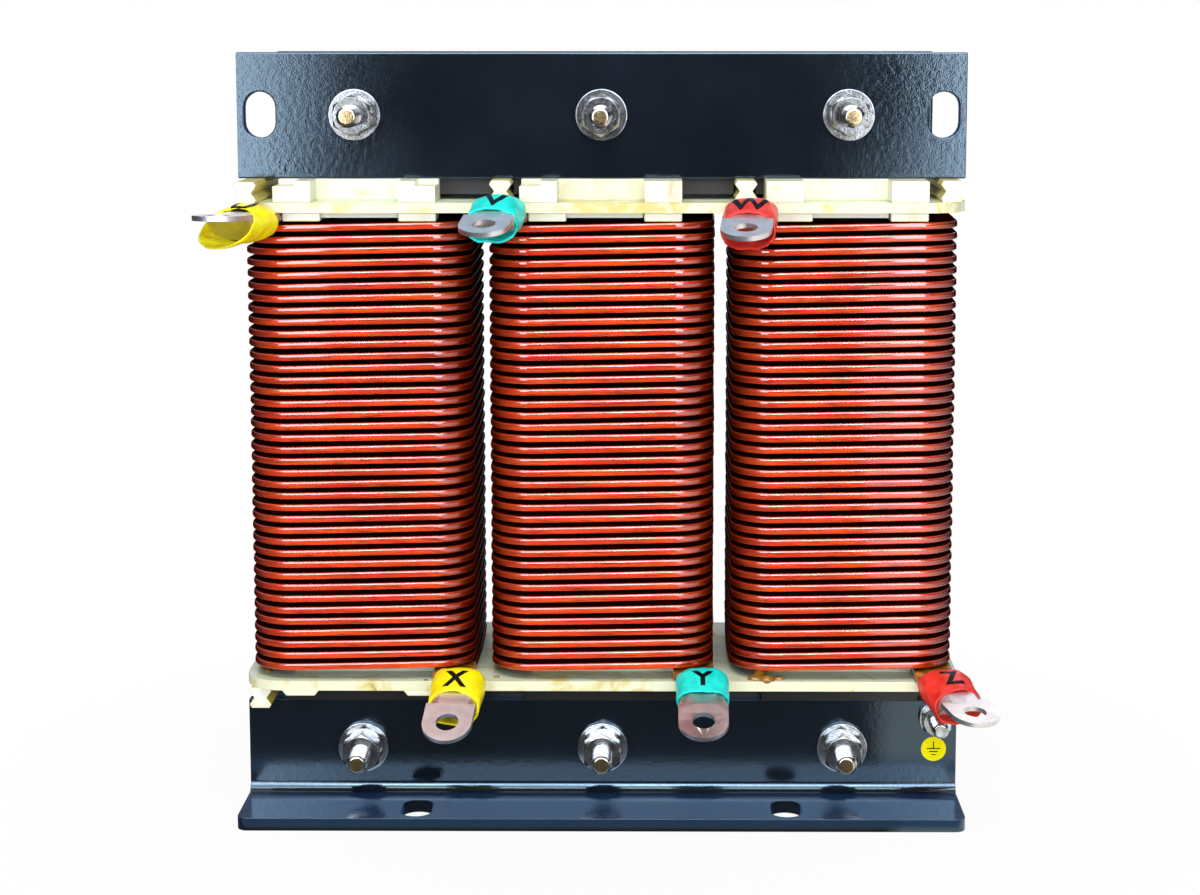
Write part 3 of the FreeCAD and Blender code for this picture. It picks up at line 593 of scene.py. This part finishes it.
def baked_varnish():
    """Drops of baked impregnating varnish: amber brown and glassy."""
    material, tree, place = new_material("baked_varnish")
    cloud = add(tree, "TexNoise", {"Vector": place, "Scale": per_metre(4.0), "Detail": 3.0})
    base = add(tree, "Mix", {0: cloud, 6: colour("#5A2E04"), 7: colour("#C08A2A")}, data_type="RGBA")
    shader = add(tree, "BsdfPrincipled", {"Base Color": base, "Roughness": 0.12, "IOR": 1.55,
                                          "Subsurface Weight": 0.2,
                                          "Subsurface Radius": (0.003, 0.0015, 0.0005)})
    add(tree, "OutputMaterial", {"Surface": shader})
    return material


def laminated_steel():
    """Stacked silicon steel sheets under dark varnish: fine lines along the stack's edges.

    A sheet is 0.35 mm; the lines are drawn 1.4 mm apart so that they show.
    """
    material, tree, place = new_material("laminated_steel")
    sheets = add(tree, "TexWave", {"Vector": place, "Scale": per_metre(1.4) / 20.0, "Distortion": 0.6,
                                   "Detail": 2.0, "Detail Scale": 3.0}, bands_direction="Y")
    cloud = add(tree, "TexNoise", {"Vector": place, "Scale": per_metre(25.0), "Detail": 4.0})
    base = add(tree, "Mix", {0: cloud, 6: colour("#0E0E10"), 7: colour("#1C1A18")}, data_type="RGBA")
    lined = add(tree, "Mix", {0: sheets.outputs["Fac"], 6: base, 7: colour("#2A2826")}, data_type="RGBA")
    bump = add(tree, "Bump", {"Strength": 0.5, "Distance": 0.0003, "Height": sheets.outputs["Fac"]})
    shader = add(tree, "BsdfPrincipled", {"Base Color": lined, "Metallic": 0.5, "Roughness": 0.42,
                                          "Coat Weight": 0.4, "Coat Roughness": 0.2, "Normal": bump})
    add(tree, "OutputMaterial", {"Surface": shader})
    return material


def plain_print(name, code):
    """Screen ink or label film: even colour, half matt."""
    material, tree, place = new_material(name)
    cloud = add(tree, "TexNoise", {"Vector": place, "Scale": per_metre(2.0), "Detail": 2.0})
    rough = add(tree, "MapRange", {"Value": cloud, "To Min": 0.3, "To Max": 0.5})
    shader = add(tree, "BsdfPrincipled",
                 {"Base Color": colour(code), "Roughness": rough, "Specular IOR Level": 0.1})
    add(tree, "OutputMaterial", {"Surface": shader})
    return material


powder_coat = black_powder_coat()
enamel = wire_enamel()
end_board = glass_board("end_board", "#E8F4D6", "#EEEEC8", 0.75)
cream_board = glass_board("cream_board", "#ECEBC4", "#F3F2DC", 0.3)
white_board = glass_board("white_board", "#E8E8DC", "#EEEDE4", 0.2)
# Stay bars: pale front and back faces; their other faces yellow from varnish, made darker as painted shade.
bar_board = glass_board("bar_board", "#F0EFDC", "#CDBB3C", 0.3, "Y")
former_board = former_with_painted_shade()
zinc = plated_metal("zinc_plate", "#CBCDCC", "#96948E", 0.2, 0.1, 1.0)
tin = plated_metal("tin_plate", "#E2DCD8", "#D2CAC4", 0.42, 0.05, 0.0)
vinyl = {
    "yellow": soft_vinyl("yellow_vinyl", "#FFF400", "#F6DA00"),
    "teal": soft_vinyl("teal_vinyl", "#00EEDD", "#06C8B8"),
    "red": soft_vinyl("red_vinyl", "#F03A2C", "#CC2016"),
}
tape = varnished_tape()
varnish = baked_varnish()
core_steel = laminated_steel()
black_ink = plain_print("black_ink", "#0A0A0B")
label_film = plain_print("label_film", "#FFF200")
label_ink = plain_print("label_ink", "#2A2A12")


# Windings
def conductor_section():
    """Flat conductor with round edges, across X and up Y."""
    points = []
    for quarter, (sign_x, sign_y) in enumerate(((1, 1), (-1, 1), (-1, -1), (1, -1))):
        centre_x = sign_x * (CONDUCTOR_WIDTH / 2 - CONDUCTOR_EDGE)
        centre_y = sign_y * (CONDUCTOR_THICKNESS / 2 - CONDUCTOR_EDGE)
        for step in range(EDGE_STEPS + 1):
            angle = math.radians(90 * (quarter + step / EDGE_STEPS))
            x = centre_x + CONDUCTOR_EDGE * math.cos(angle)
            points.append((x, centre_y + CONDUCTOR_EDGE * math.sin(angle)))
    return points


def winding_path(x, seed):
    """Middle line of a coil: each side climbs by the same step, each corner lies level."""
    draw = random.Random(seed)
    uneven = [draw.uniform(-TURN_UNEVEN, TURN_UNEVEN) for _ in range(COIL_SIDES + 1)]
    standout = [draw.uniform(-TURN_STANDOUT, TURN_STANDOUT) for _ in range(COIL_SIDES + 1)]
    rise = (COIL_TOP - COIL_BOTTOM - CONDUCTOR_THICKNESS) / COIL_SIDES
    first = COIL_BOTTOM + CONDUCTOR_THICKNESS / 2
    half = {0: LINE_Y - LINE_CORNER, 1: LINE_X - LINE_CORNER}
    out = {0: LINE_X, 1: LINE_Y}
    points = []
    for side in range(COIL_SIDES):
        turn = math.radians(90.0 * (side % 4))
        outward = Vector((math.cos(turn), math.sin(turn)))
        along = Vector((-outward.y, outward.x))
        run = half[side % 2]
        for step in range(STRAIGHT_STEPS + 1):
            part = step / STRAIGHT_STEPS
            bow = SIDE_BOW * (1 - (2 * part - 1) ** 2)
            shake = uneven[side] * (1 - part) + uneven[side + 1] * part
            stand = standout[side] * (1 - part) + standout[side + 1] * part
            reach = along * run * (2 * part - 1)
            if side == 0 and step == 0:
                reach = -along * COIL_INNER_Y
            if side == COIL_SIDES - 1 and step == STRAIGHT_STEPS:
                reach = along * COIL_INNER_Y
            spot = outward * (out[side % 2] + bow + stand) + reach
            lift = 0.0 if side in (0, COIL_SIDES - 1) else shake
            points.append((x + spot.x, spot.y, first + rise * (side + part) + lift))
        if side == COIL_SIDES - 1:
            break
        centre = outward * (out[side % 2] - LINE_CORNER) + along * run
        stand = standout[side + 1]
        for step in range(1, CORNER_STEPS):
            angle = turn + math.radians(90.0 * step / CORNER_STEPS)
            spot = centre + Vector((math.cos(angle), math.sin(angle))) * (LINE_CORNER + stand)
            lift = 0.0 if side in (0, COIL_SIDES - 2) else uneven[side + 1]
            points.append((x + spot.x, spot.y, first + rise * (side + 1) + lift))
    return points


def wind_coils():
    for seed, (phase, x) in enumerate(PHASES.items(), start=11):
        piece = swept(f"winding_{phase}", winding_path(x, seed), conductor_section())
        smooth(piece, 38.0)
        finish_piece(piece, enamel, (f"coil_{phase}",))


# Clamps, core and insulation
def dress_frame():
    """The frame's own solids, each in its material. Where their edges show, they are rounded."""
    for row in ("front", "rear"):
        rounded_node(f"top_clamp_{row}", f"{row}_top_clamp", powder_coat, 1.3, 3, 50.0)
    for row in ("front", "rear"):
        rounded_node(f"bottom_clamp_{row}", f"{row}_lower_clamp", powder_coat, 1.2, 3, 50.0)
    rounded_node("top_yoke", "upper_yoke", core_steel, 0.4)
    rounded_node("bottom_yoke", "lower_yoke", core_steel, 0.4)
    for level in ("upper", "lower"):
        rounded_node(f"{level}_end_plate", f"{level}_board", end_board, 1.0, 3)
    for level in ("upper", "lower"):
        rounded_node(f"{level}_stay_bars", f"{level}_bars", bar_board, 0.35, 2, 25.0)
    for row in ("front", "rear"):
        for level in ("upper", "lower"):
            blocks = f"{level}_blocks_{row}"
            rounded_node(f"{level}_press_blocks_{row}", blocks, cream_board, 0.5)
    rounded_node("upper_corner_spacers", "upper_spacers", white_board, 1.6, 3)
    rounded_node("lower_coil_packing", "lower_packing", cream_board, 0.3)
    kept = {"former": former_board, "gap_plates": cream_board, "limb_blocks": core_steel}
    for node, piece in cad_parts.items():
        for start, material in kept.items():
            if node.startswith(start):
                paint(piece, material)


def add_dark_bands():
    """Dark core-steel bands between the limbs at a lower and an upper level, seen on both sides of each stay
    bar.
    """
    pieces = []
    limb = LIMB_WIDTH / 2
    half = BAR_WIDTH / 2
    for sign, low, high in DARK_BANDS:
        for x in (0.0, PHASES["right"]):
            bar = x - BAR_FROM_LIMB
            for run in ((x - PHASES["right"] + limb, bar - half), (bar + half, x - limb)):
                start, end = sorted(sign * place for place in run)
                pieces.append(block("yoke_edge", (start, -STACK_HALF, low), (end, STACK_HALF, high)))
    finish_piece(join_pieces(pieces, "yoke_edges"), core_steel)


def add_strips():
    """White board strips under the upper plate, between each coil's corner spacers."""
    top = 1000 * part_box("upper_end_plate")[0].z
    pieces = []
    for x in PHASES.values():
        low = (x - STRIP_HALF, -STRIP_FRONT, top - STRIP_HEIGHT)
        pieces.append(block("board_strip", low, (x + STRIP_HALF, STRIP_WALL - STRIP_FRONT, top)))
    finish_piece(join_pieces(pieces, "board_strips"), white_board)


def darken_walls():
    """The front lower press blocks' walls in the dark core material; their lips keep the board's colour."""
    mesh = bpy.data.objects["lower_blocks_front"].data
    mesh.materials.append(core_steel)
    for face in mesh.polygons:
        if face.center.y > -MM * (CLAMP_FACE + WALL_STANDOUT + CLEARANCE):
            face.material_index = 1


# Lugs, sleeves and leads
def terminal_place(name):
    index = "uvwxyz".index(name)
    x = list(PHASES.values())[index % 3]
    if index < 3:
        return x - LEAD_FROM_LIMB, COIL_TOP - LEAD_THICKNESS / 2
    return x + LEAD_FROM_LIMB, COIL_BOTTOM + LEAD_THICKNESS / 2


def lug_matrix(name):
    """Carries a form from the lug's own frame to its place on the lead."""
    sideways, down, _, shift, lift = LUG_AIMS[name]
    x, z = terminal_place(name)
    move = Matrix.Translation((x + shift, -PLATE_FRONT - LUG_STANDOUT, z + lift))
    turn = Matrix.Rotation(math.radians(sideways - 90), 4, "Z")
    return move @ turn @ Matrix.Rotation(math.radians(down), 4, "Y")


def oval(name, x, spot):
    """Ring across X. A function takes each point of a circle of radius one to its place."""
    bpy.ops.mesh.primitive_circle_add(vertices=RING_POINTS, radius=1.0, location=(0, 0, 0),
                                      rotation=(math.pi / 2, 0, math.pi / 2))
    piece = named(name)
    apply_place(piece)
    for vertex in piece.data.vertices:
        vertex.co = (x, *spot(vertex.co.y, vertex.co.z))
    return piece


def barrel_spot(y, z):
    """Straight top and bottom and round sides."""
    radius = BARREL_HEIGHT / 2
    straight = BARREL_WIDTH / 2 - radius
    side = 0 if abs(y) * radius < 0.001 else math.copysign(straight, y)
    return y * radius + side, z * radius


def sleeve_spot(y, z):
    """The sleeve's first ring: an ellipse drawn a little towards a rectangle."""
    _, width, height = SLEEVE_SECTIONS[0]
    return (math.copysign(abs(y) ** SLEEVE_ROUNDNESS, y) * width / 2,
            math.copysign(abs(z) ** SLEEVE_ROUNDNESS, z) * height / 2)


def make_lug(name):
    """Cable lug in its own frame: oval barrel, sloped into a flat palm with a round end."""
    top = BARREL_HEIGHT / 2
    half = PALM_WIDTH / 2
    palm_foot = top - PALM_THICKNESS
    piece = cylinder(f"cable_lug_{name}", PALM_WIDTH, palm_foot, top, 64, HOLE_REACH)
    neck = block("neck", (SLOPE_END - PALM_OVERLAP, -half, palm_foot), (HOLE_REACH, half, top))
    cut_with(piece, neck, "UNION")
    cut_with(piece, cylinder("palm_hole", PALM_HOLE, -top, 2 * top, 48, HOLE_REACH), "DIFFERENCE")
    tilt = Matrix.Rotation(math.radians(LUG_AIMS[name][2]), 4, "Y")
    hinge = Vector((SLOPE_END, 0, top))
    piece.data.transform(Matrix.Translation(hinge) @ tilt @ Matrix.Translation(-hinge))
    barrel = oval("barrel", BARREL_START, barrel_spot)
    slope = Vector((BARREL_HEIGHT - PALM_THICKNESS, 0, BARREL_END - SLOPE_END)).normalized()
    with edit_mode(barrel):
        bpy.ops.mesh.edge_face_add()
        bpy.ops.mesh.extrude_region_move(TRANSFORM_OT_translate={"value": (SLOPE_END - BARREL_START, 0, 0)})
        bpy.ops.mesh.select_all(action="SELECT")
        bpy.ops.mesh.normals_make_consistent(inside=False)
        bpy.ops.mesh.bisect(plane_co=(BARREL_END, 0, -top), plane_no=slope, use_fill=True, clear_outer=True)
    cut_with(piece, barrel, "UNION")
    round_edges(piece, PALM_EDGE, 3, 32.0)
    smooth(piece, 35.0)
    return piece


def make_sleeve(name, number):
    """Soft sleeve in the lug's own frame: neck, shoulder, wrinkled body and slanted mouth."""
    piece = oval(f"sleeve_{name}", SLEEVE_SECTIONS[0][0], sleeve_spot)
    top_reach, lip_reach = SLEEVE_REACH[name]
    mouth = ((top_reach + lip_reach) / 2, 0, 0)
    slant = Vector((SLEEVE_SECTIONS[-1][2], 0, lip_reach - top_reach)).normalized()
    with edit_mode(piece):
        for before, after in zip(SLEEVE_SECTIONS, SLEEVE_SECTIONS[1:]):
            bpy.ops.mesh.extrude_region_move(TRANSFORM_OT_translate={"value": (after[0] - before[0], 0, 0)})
            bpy.ops.transform.resize(value=(1.0, after[1] / before[1], after[2] / before[2]))
        bpy.ops.mesh.select_all(action="SELECT")
        bpy.ops.mesh.bisect(plane_co=mouth, plane_no=slant, clear_outer=True)
        bpy.ops.mesh.select_all(action="SELECT")
        bpy.ops.mesh.normals_make_consistent(inside=False)
    modify(piece, "SUBSURF", levels=1, render_levels=1)
    shift = Matrix.Translation(number * WRINKLE_SHIFT)
    piece.data.transform(shift)
    crumple(piece, f"wrinkle_{name}", WRINKLE_SIZE, SLEEVE_WRINKLE)
    piece.data.transform(shift.inverted())
    modify(piece, "SOLIDIFY", thickness=SLEEVE_WALL, offset=-1.0)
    modify(piece, "SUBSURF", levels=1, render_levels=1)
    smooth(piece, 60.0)
    return piece


def make_letter(name, sleeve):
    """Phase mark printed on the sleeve's top, its foot towards the mouth."""
    height, reach = LOWER_LETTER if name in "xyz" else UPPER_LETTER
    bpy.ops.object.text_add(location=(0, 0, 0))
    font = bpy.context.object.data
    font.body = name.upper()
    font.size = height / CAPITAL_SHARE
    font.offset = LETTER_WEIGHT
    font.align_x = "CENTER"
    font.align_y = "CENTER"
    bpy.ops.object.convert(target="MESH")
    piece = named(f"mark_{name}")
    above = Matrix.Translation((reach, 0, 1.5 * BARREL_HEIGHT))
    piece.data.transform(above @ Matrix.Rotation(math.pi / 2, 4, "Z"))
    with edit_mode(piece):
        bpy.ops.mesh.remove_doubles(threshold=0.01)
        bpy.ops.mesh.quads_convert_to_tris()
        bpy.ops.mesh.subdivide(number_cuts=5)
    modify(piece, "SHRINKWRAP", target=sleeve, wrap_method="PROJECT", use_project_z=True,
           use_negative_direction=True, use_positive_direction=False, offset=INK_LIFT)
    modify(piece, "SOLIDIFY", thickness=INK_FILM, offset=-1.0)
    return piece


def make_lead(name):
    """Taped end of the winding, slightly lumpy under its varnish."""
    piece = node_copy(f"lead_{name}", f"taped_lead_{name}")
    round_edges(piece, LEAD_EDGE)
    modify(piece, "REMESH", mode="VOXEL", voxel_size=LEAD_GRAIN)
    crumple(piece, f"lumps_{name}", LUMP_SIZE, LUMP_DEPTH)
    smooth(piece, 60.0)
    return piece


def dress_terminals():
    colours = {"u": "yellow", "x": "yellow", "v": "teal", "y": "teal", "w": "red", "z": "red"}
    for number, name in enumerate(LUG_AIMS):
        place = lug_matrix(name)
        tint = colours[name]
        finish_piece(make_lug(name), tin, (f"lug_{name}",), place)
        sleeve = make_sleeve(name, number)
        finish_piece(make_letter(name, sleeve), black_ink, (), place)
        finish_piece(sleeve, vinyl[tint], (f"lug_sleeve_{name}",), place)
        finish_piece(make_lead(name), tape, (f"lead_{name}",))


# Fasteners, each modelled once about Z with the clamp's face at zero
def out_of_web(x, z):
    """Stands a fastener on the clamp's front face, its Z towards the front."""
    return Matrix.Translation((x, -CLAMP_FACE, z)) @ Matrix.Rotation(math.pi / 2, 4, "X")


def make_nut(name, flats, height, hole, start):
    """Hexagon nut or head with chamfered corners on both faces."""
    width = 2 * flats / math.sqrt(3)
    piece = cylinder(name, width, start, start + height, 6)
    turned = cylinder("turned", NUT_TURNED * width, start, start + height, 64)
    round_edges(turned, NUT_CHAMFER * width, 1, 60.0)
    cut_with(piece, turned, "INTERSECT")
    if hole:
        cut_with(piece, cylinder("bore", hole, start - height, start + 2 * height), "DIFFERENCE")
    round_edges(piece, NUT_EDGE, 2, 28.0)
    smooth(piece, 30.0)
    return piece


def make_washer(size, start):
    outer, inner, thickness = size
    piece = cylinder("washer", outer, start, start + thickness, 72)
    cut_with(piece, cylinder("bore", inner, start - thickness, start + 2 * thickness), "DIFFERENCE")
    round_edges(piece, WASHER_EDGE, 2, 40.0)
    smooth(piece, 30.0)
    return piece


def make_spring_washer(size, start):
    """Split ring whose ends stand a little apart."""
    outer, inner, thickness = size
    middle = (outer + inner) / 4
    half = (outer - inner) / 4
    wire = thickness - SPLIT_RISE
    path = []
    for step in range(SPLIT_STEPS + 1):
        part = step / SPLIT_STEPS
        angle = math.radians(SPLIT_GAP / 2 + (360.0 - SPLIT_GAP) * part)
        rise = start + wire / 2 + SPLIT_RISE * part
        path.append((middle * math.cos(angle), middle * math.sin(angle), rise))
    section = [(-half, -wire / 2), (half, -wire / 2), (half, wire / 2), (-half, wire / 2)]
    piece = swept("spring_washer", path, section)
    round_edges(piece, SPRING_EDGE, 2, 40.0)
    smooth(piece, 30.0)
    return piece


def make_thread(size, start, end):
    """Threaded bolt end: a plain core with a chamfered tip, and one helical ridge."""
    pitch = size["pitch"]
    depth = THREAD_DEPTH * pitch
    core = size["diameter"] / 2 - depth
    rod = cylinder("thread", 2 * (core + CORE_MARGIN), start, end, 40)
    round_edges(rod, size["chamfer"], 2, 60.0)
    turns = (end - start - RIDGE_SHORTER * pitch - size["chamfer"]) / pitch
    path = []
    for step in range(int(turns * THREAD_STEPS) + 1):
        angle = 2 * math.pi * step / THREAD_STEPS
        rise = start + pitch * (RIDGE_START + step / THREAD_STEPS)
        path.append((core * math.cos(angle), core * math.sin(angle), rise))
    foot = RIDGE_FOOT * pitch
    crest = RIDGE_CREST * pitch
    ridge = swept("ridge", path, [(-0.1, -foot), (depth, -crest), (depth, crest), (-0.1, foot)])
    joined = join_pieces([rod, ridge], "thread")
    smooth(joined, 30.0)
    return joined


def make_bolt(name, size, grip, nut_front, reach):
    """Hexagon bolt: head behind what it grips, shank, and a thread that starts inside the nut."""
    head = make_nut("head", size["flats"], size["head"], 0.0, -grip - size["head"])
    shank = cylinder("shank", size["shank"], -grip, nut_front, 40)
    thread = make_thread(size, nut_front - THREAD_IN_NUT, reach)
    return join_pieces([head, shank, thread], name)


def make_bolt_nut(name, size, start):
    return make_nut(name, size["flats"], size["nut"], size["diameter"] - THREAD_IN_BORE, start)


def dress_fasteners():
    """Clamp bolts with their washers and nuts, three in each clamp."""
    places = [out_of_web(x, z) for z in BOLT_HEIGHTS for x in (-BOLT_PITCH, 0.0, BOLT_PITCH)]
    spring = FLAT_WASHER[2]
    nut = spring + SPRING_WASHER[2]
    nut_front = nut + CLAMP_BOLT["nut"]
    bolt = make_bolt("clamp_bolt", CLAMP_BOLT, 2 * CLAMP_FACE, nut_front, BOLT_REACH)
    kinds = (
        ("flat_washers", make_washer(FLAT_WASHER, 0.0), "clamp_flat_washers"),
        ("spring_washers", make_spring_washer(SPRING_WASHER, spring), "clamp_spring_washers"),
        ("hexagon_nuts", make_bolt_nut("clamp_nut", CLAMP_BOLT, nut), "clamp_nuts"),
        ("long_bolts", bolt, "clamp_bolts"),
    )
    for name, piece, node in kinds:
        finish_piece(copies(piece, places, name), zinc, (node,))


def dress_earth():
    """Earth bolt with its washers and nut, and the round label below it."""
    place = out_of_web(*EARTH_PLACE)
    step = EARTH_WASHER[2]
    nut_front = 2 * step + EARTH_BOLT["nut"]
    rings = join_pieces([make_washer(EARTH_WASHER, start) for start in (0.0, step)], "earth_rings")
    finish_piece(rings, zinc, ("earth_washers",), place)
    nut = make_bolt_nut("earth_hexagon", EARTH_BOLT, 2 * step)
    finish_piece(nut, zinc, ("earth_nut",), place)
    bolt = make_bolt("earth_screw", EARTH_BOLT, CLAMP_PLATE, nut_front, EARTH_REACH)
    finish_piece(bolt, zinc, ("earth_bolt",), place)
    label_place = out_of_web(*LABEL_PLACE)
    label = cylinder("earth_label", LABEL_DIAMETER, 0.0, LABEL_FILM, 64)
    finish_piece(label, label_film, (), label_place)
    marks = []
    for x, y, width, height in EARTH_STROKES:
        low = (x - width / 2, y - height / 2, LABEL_FILM)
        marks.append(block("stroke", low, (x + width / 2, y + height / 2, LABEL_FILM + LABEL_INK)))
    symbol = join_pieces(marks, "earth_symbol")
    finish_piece(symbol, label_ink, (), label_place)


def drop_varnish():
    """Runs of baked varnish where the coils stand on the lower plate."""
    board_top = 1000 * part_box("lower_end_plate")[1].z
    bpy.ops.object.metaball_add(type="BALL", radius=1.0, location=(0, 0, 0))
    blob = bpy.context.object
    blob.data.resolution = 0.5
    blob.data.render_resolution = 0.5
    blob.data.elements.clear()
    for x, y, radius, height in VARNISH_DROPS:
        element = blob.data.elements.new(type="ELLIPSOID")
        element.co = (x, y, board_top + 0.1 * height)
        element.radius = DROP_SPREAD * radius
        element.size_x = 1.0
        element.size_y = DROP_DEPTH
        element.size_z = height / radius
    make_active(blob)
    bpy.ops.object.convert(target="MESH")
    piece = named("varnish_drops")
    smooth(piece, 60.0)
    finish_piece(piece, varnish)


# Stage: floor, light and camera
def build_floor():
    """White table to the camera and for soft light. In the object's reflections it is dark, but
    for a bright side on the right and a faint blue band in front of the foot."""
    bpy.ops.mesh.primitive_plane_add(size=12.0, location=(0, 2.0, -0.0003))
    floor = named("floor")
    material, tree, place = new_material("white_table")
    away = add(tree, "VectorMath", {0: place, 1: (0.0, -2.0, 0.0)}, operation="DISTANCE")
    far = add(tree, "MapRange", {"Value": away.outputs["Value"], "From Min": 0.12, "From Max": 0.35,
                                 "To Min": 0.92, "To Max": 1.0})
    path = add(tree, "LightPath")
    seen = add(tree, "Math", {0: path.outputs["Is Camera Ray"], 1: path.outputs["Is Transmission Ray"]},
               operation="MAXIMUM")
    fade = add(tree, "Math", {0: far, 1: seen}, operation="MULTIPLY")
    matt = add(tree, "BsdfPrincipled", {"Base Color": colour("#E6E6E6"), "Roughness": 0.7})
    white = add(tree, "Emission", {"Color": colour("#FFFFFF"), "Strength": 1.0})
    mixed = add(tree, "MixShader", {0: fade, 1: matt, 2: white})
    split = add(tree, "SeparateXYZ", {"Vector": place})
    slope = add(tree, "Math", {0: split.outputs["Y"], 1: 0.097, 2: split.outputs["X"]},
                operation="MULTIPLY_ADD")
    side = add(tree, "MapRange",
               {"Value": slope, "From Min": -0.07, "From Max": -0.06, "To Min": 0.06, "To Max": 1.3})
    behind = add(tree, "MapRange", {"Value": split.outputs["Y"], "From Min": -2.09, "From Max": -2.082,
                                    "To Min": 1.0, "To Max": 0.0})
    near = add(tree, "MapRange",
               {"Value": split.outputs["Y"], "From Min": -2.115, "From Max": -2.095, "To Max": behind})
    bright = add(tree, "Math", {0: side, 1: near}, operation="MAXIMUM")
    tint = add(tree, "Mix", {0: near, 6: colour("#FFFFFF"), 7: colour("#79ACE1")}, data_type="RGBA")
    mirrored = add(tree, "Emission", {"Color": tint, "Strength": bright})
    last = add(tree, "MixShader", {0: path.outputs["Is Glossy Ray"], 1: mixed, 2: mirrored})
    add(tree, "OutputMaterial", {"Surface": last})
    paint(floor, material)


def light_world():
    """White behind the object for the camera and a plain soft level for the light. In reflections
    it is dark in front and low down, with a bright band at a middle height in front."""
    world = bpy.data.worlds.new("studio")
    bpy.context.scene.world = world
    world.use_nodes = True
    tree = world.node_tree
    tree.nodes.clear()
    way = add(tree, "SeparateXYZ", {"Vector": add(tree, "TexCoord").outputs["Generated"]})
    behind = add(tree, "MapRange", {"Value": way.outputs["Y"], "From Min": -0.35, "From Max": 0.25,
                                    "To Min": 0.06, "To Max": 1.0})
    above = add(tree, "MapRange",
                {"Value": way.outputs["Z"], "From Min": 0.2, "From Max": 0.8, "To Min": 0.05, "To Max": 1.0})
    high = add(tree, "MapRange",
               {"Value": way.outputs["Z"], "From Min": 0.2, "From Max": 0.36, "To Max": 9.5})
    front = add(tree, "MapRange", {"Value": way.outputs["Y"], "From Min": -0.8, "From Max": -0.6,
                                   "To Min": 1.0, "To Max": 0.0})
    band = add(tree, "Math", {0: high, 1: front}, operation="MULTIPLY")
    level = add(tree, "Math", {0: behind, 1: above, 2: band}, operation="MULTIPLY_ADD")
    path = add(tree, "LightPath")
    soft = add(tree, "Background", {"Color": colour("#F4F7FF"), "Strength": 0.25})
    backdrop = add(tree, "Background", {"Color": colour("#FFFFFF"), "Strength": 1.0})
    reflected = add(tree, "Background", {"Color": colour("#D8E5FF"), "Strength": level})
    seen = add(tree, "Math", {0: path.outputs["Is Camera Ray"], 1: path.outputs["Is Transmission Ray"]},
               operation="MAXIMUM")
    first = add(tree, "MixShader", {0: path.outputs["Is Glossy Ray"], 1: soft, 2: reflected})
    last = add(tree, "MixShader", {0: seen, 1: first, 2: backdrop})
    add(tree, "OutputWorld", {"Surface": last})


def softbox(name, place, aim, size, power, tint="#FFFFFF"):
    light = bpy.data.lights.new(name, "AREA")
    light.shape = "RECTANGLE"
    light.size, light.size_y = size
    light.energy = power
    light.color = colour(tint)[:3]
    lamp = linked(name, light)
    lamp.location = place
    lamp.rotation_euler = (Vector(aim) - Vector(place)).to_track_quat("-Z", "Y").to_euler()


def build_lights():
    """Tall strips in front for the bright lines along the turns, a box at each side for the ends of
    the top clamp, and one above and behind."""
    for number, (x, width) in enumerate(LIGHT_STRIPS):
        softbox(f"strip_{number}", (x, -1.75, 1.0), (x, 0.0, 0.2), (width, 0.4), 20.0 * width)
    for side, x in (("left", -0.66), ("right", 0.62)):
        aim = (math.copysign(0.1, x), 0.0, 0.3)
        softbox(f"{side}_box", (x, -1.6, 0.4), aim, (0.55, 0.6), 7.5, "#EAF0FF")
    softbox("top_box", (0.0, -0.6, 1.3), (0.0, 0.0, 0.2), (1.2, 0.6), 11.0)
    softbox("rear_box", (0.1, 1.3, 1.0), (0.0, 0.0, 0.2), (1.4, 0.7), 6.0)


def build_camera():
    camera = bpy.data.cameras.new("camera")
    camera.sensor_width = 36.0
    camera.lens = CAMERA_LENS
    camera.shift_x, camera.shift_y = CAMERA_SHIFT
    camera.clip_start = 0.05
    camera.clip_end = 50.0
    holder = linked("camera", camera)
    holder.location = CAMERA_PLACE
    holder.rotation_euler = (math.radians(90 - CAMERA_DOWN), 0.0, math.radians(CAMERA_LEFT))
    bpy.context.scene.camera = holder
    bpy.context.scene.view_settings.view_transform = "Standard"


build_camera()
light_world()
build_lights()
build_floor()
wind_coils()
dress_frame()
darken_walls()
add_dark_bands()
add_strips()
dress_terminals()
dress_fasteners()
dress_earth()
drop_varnish()
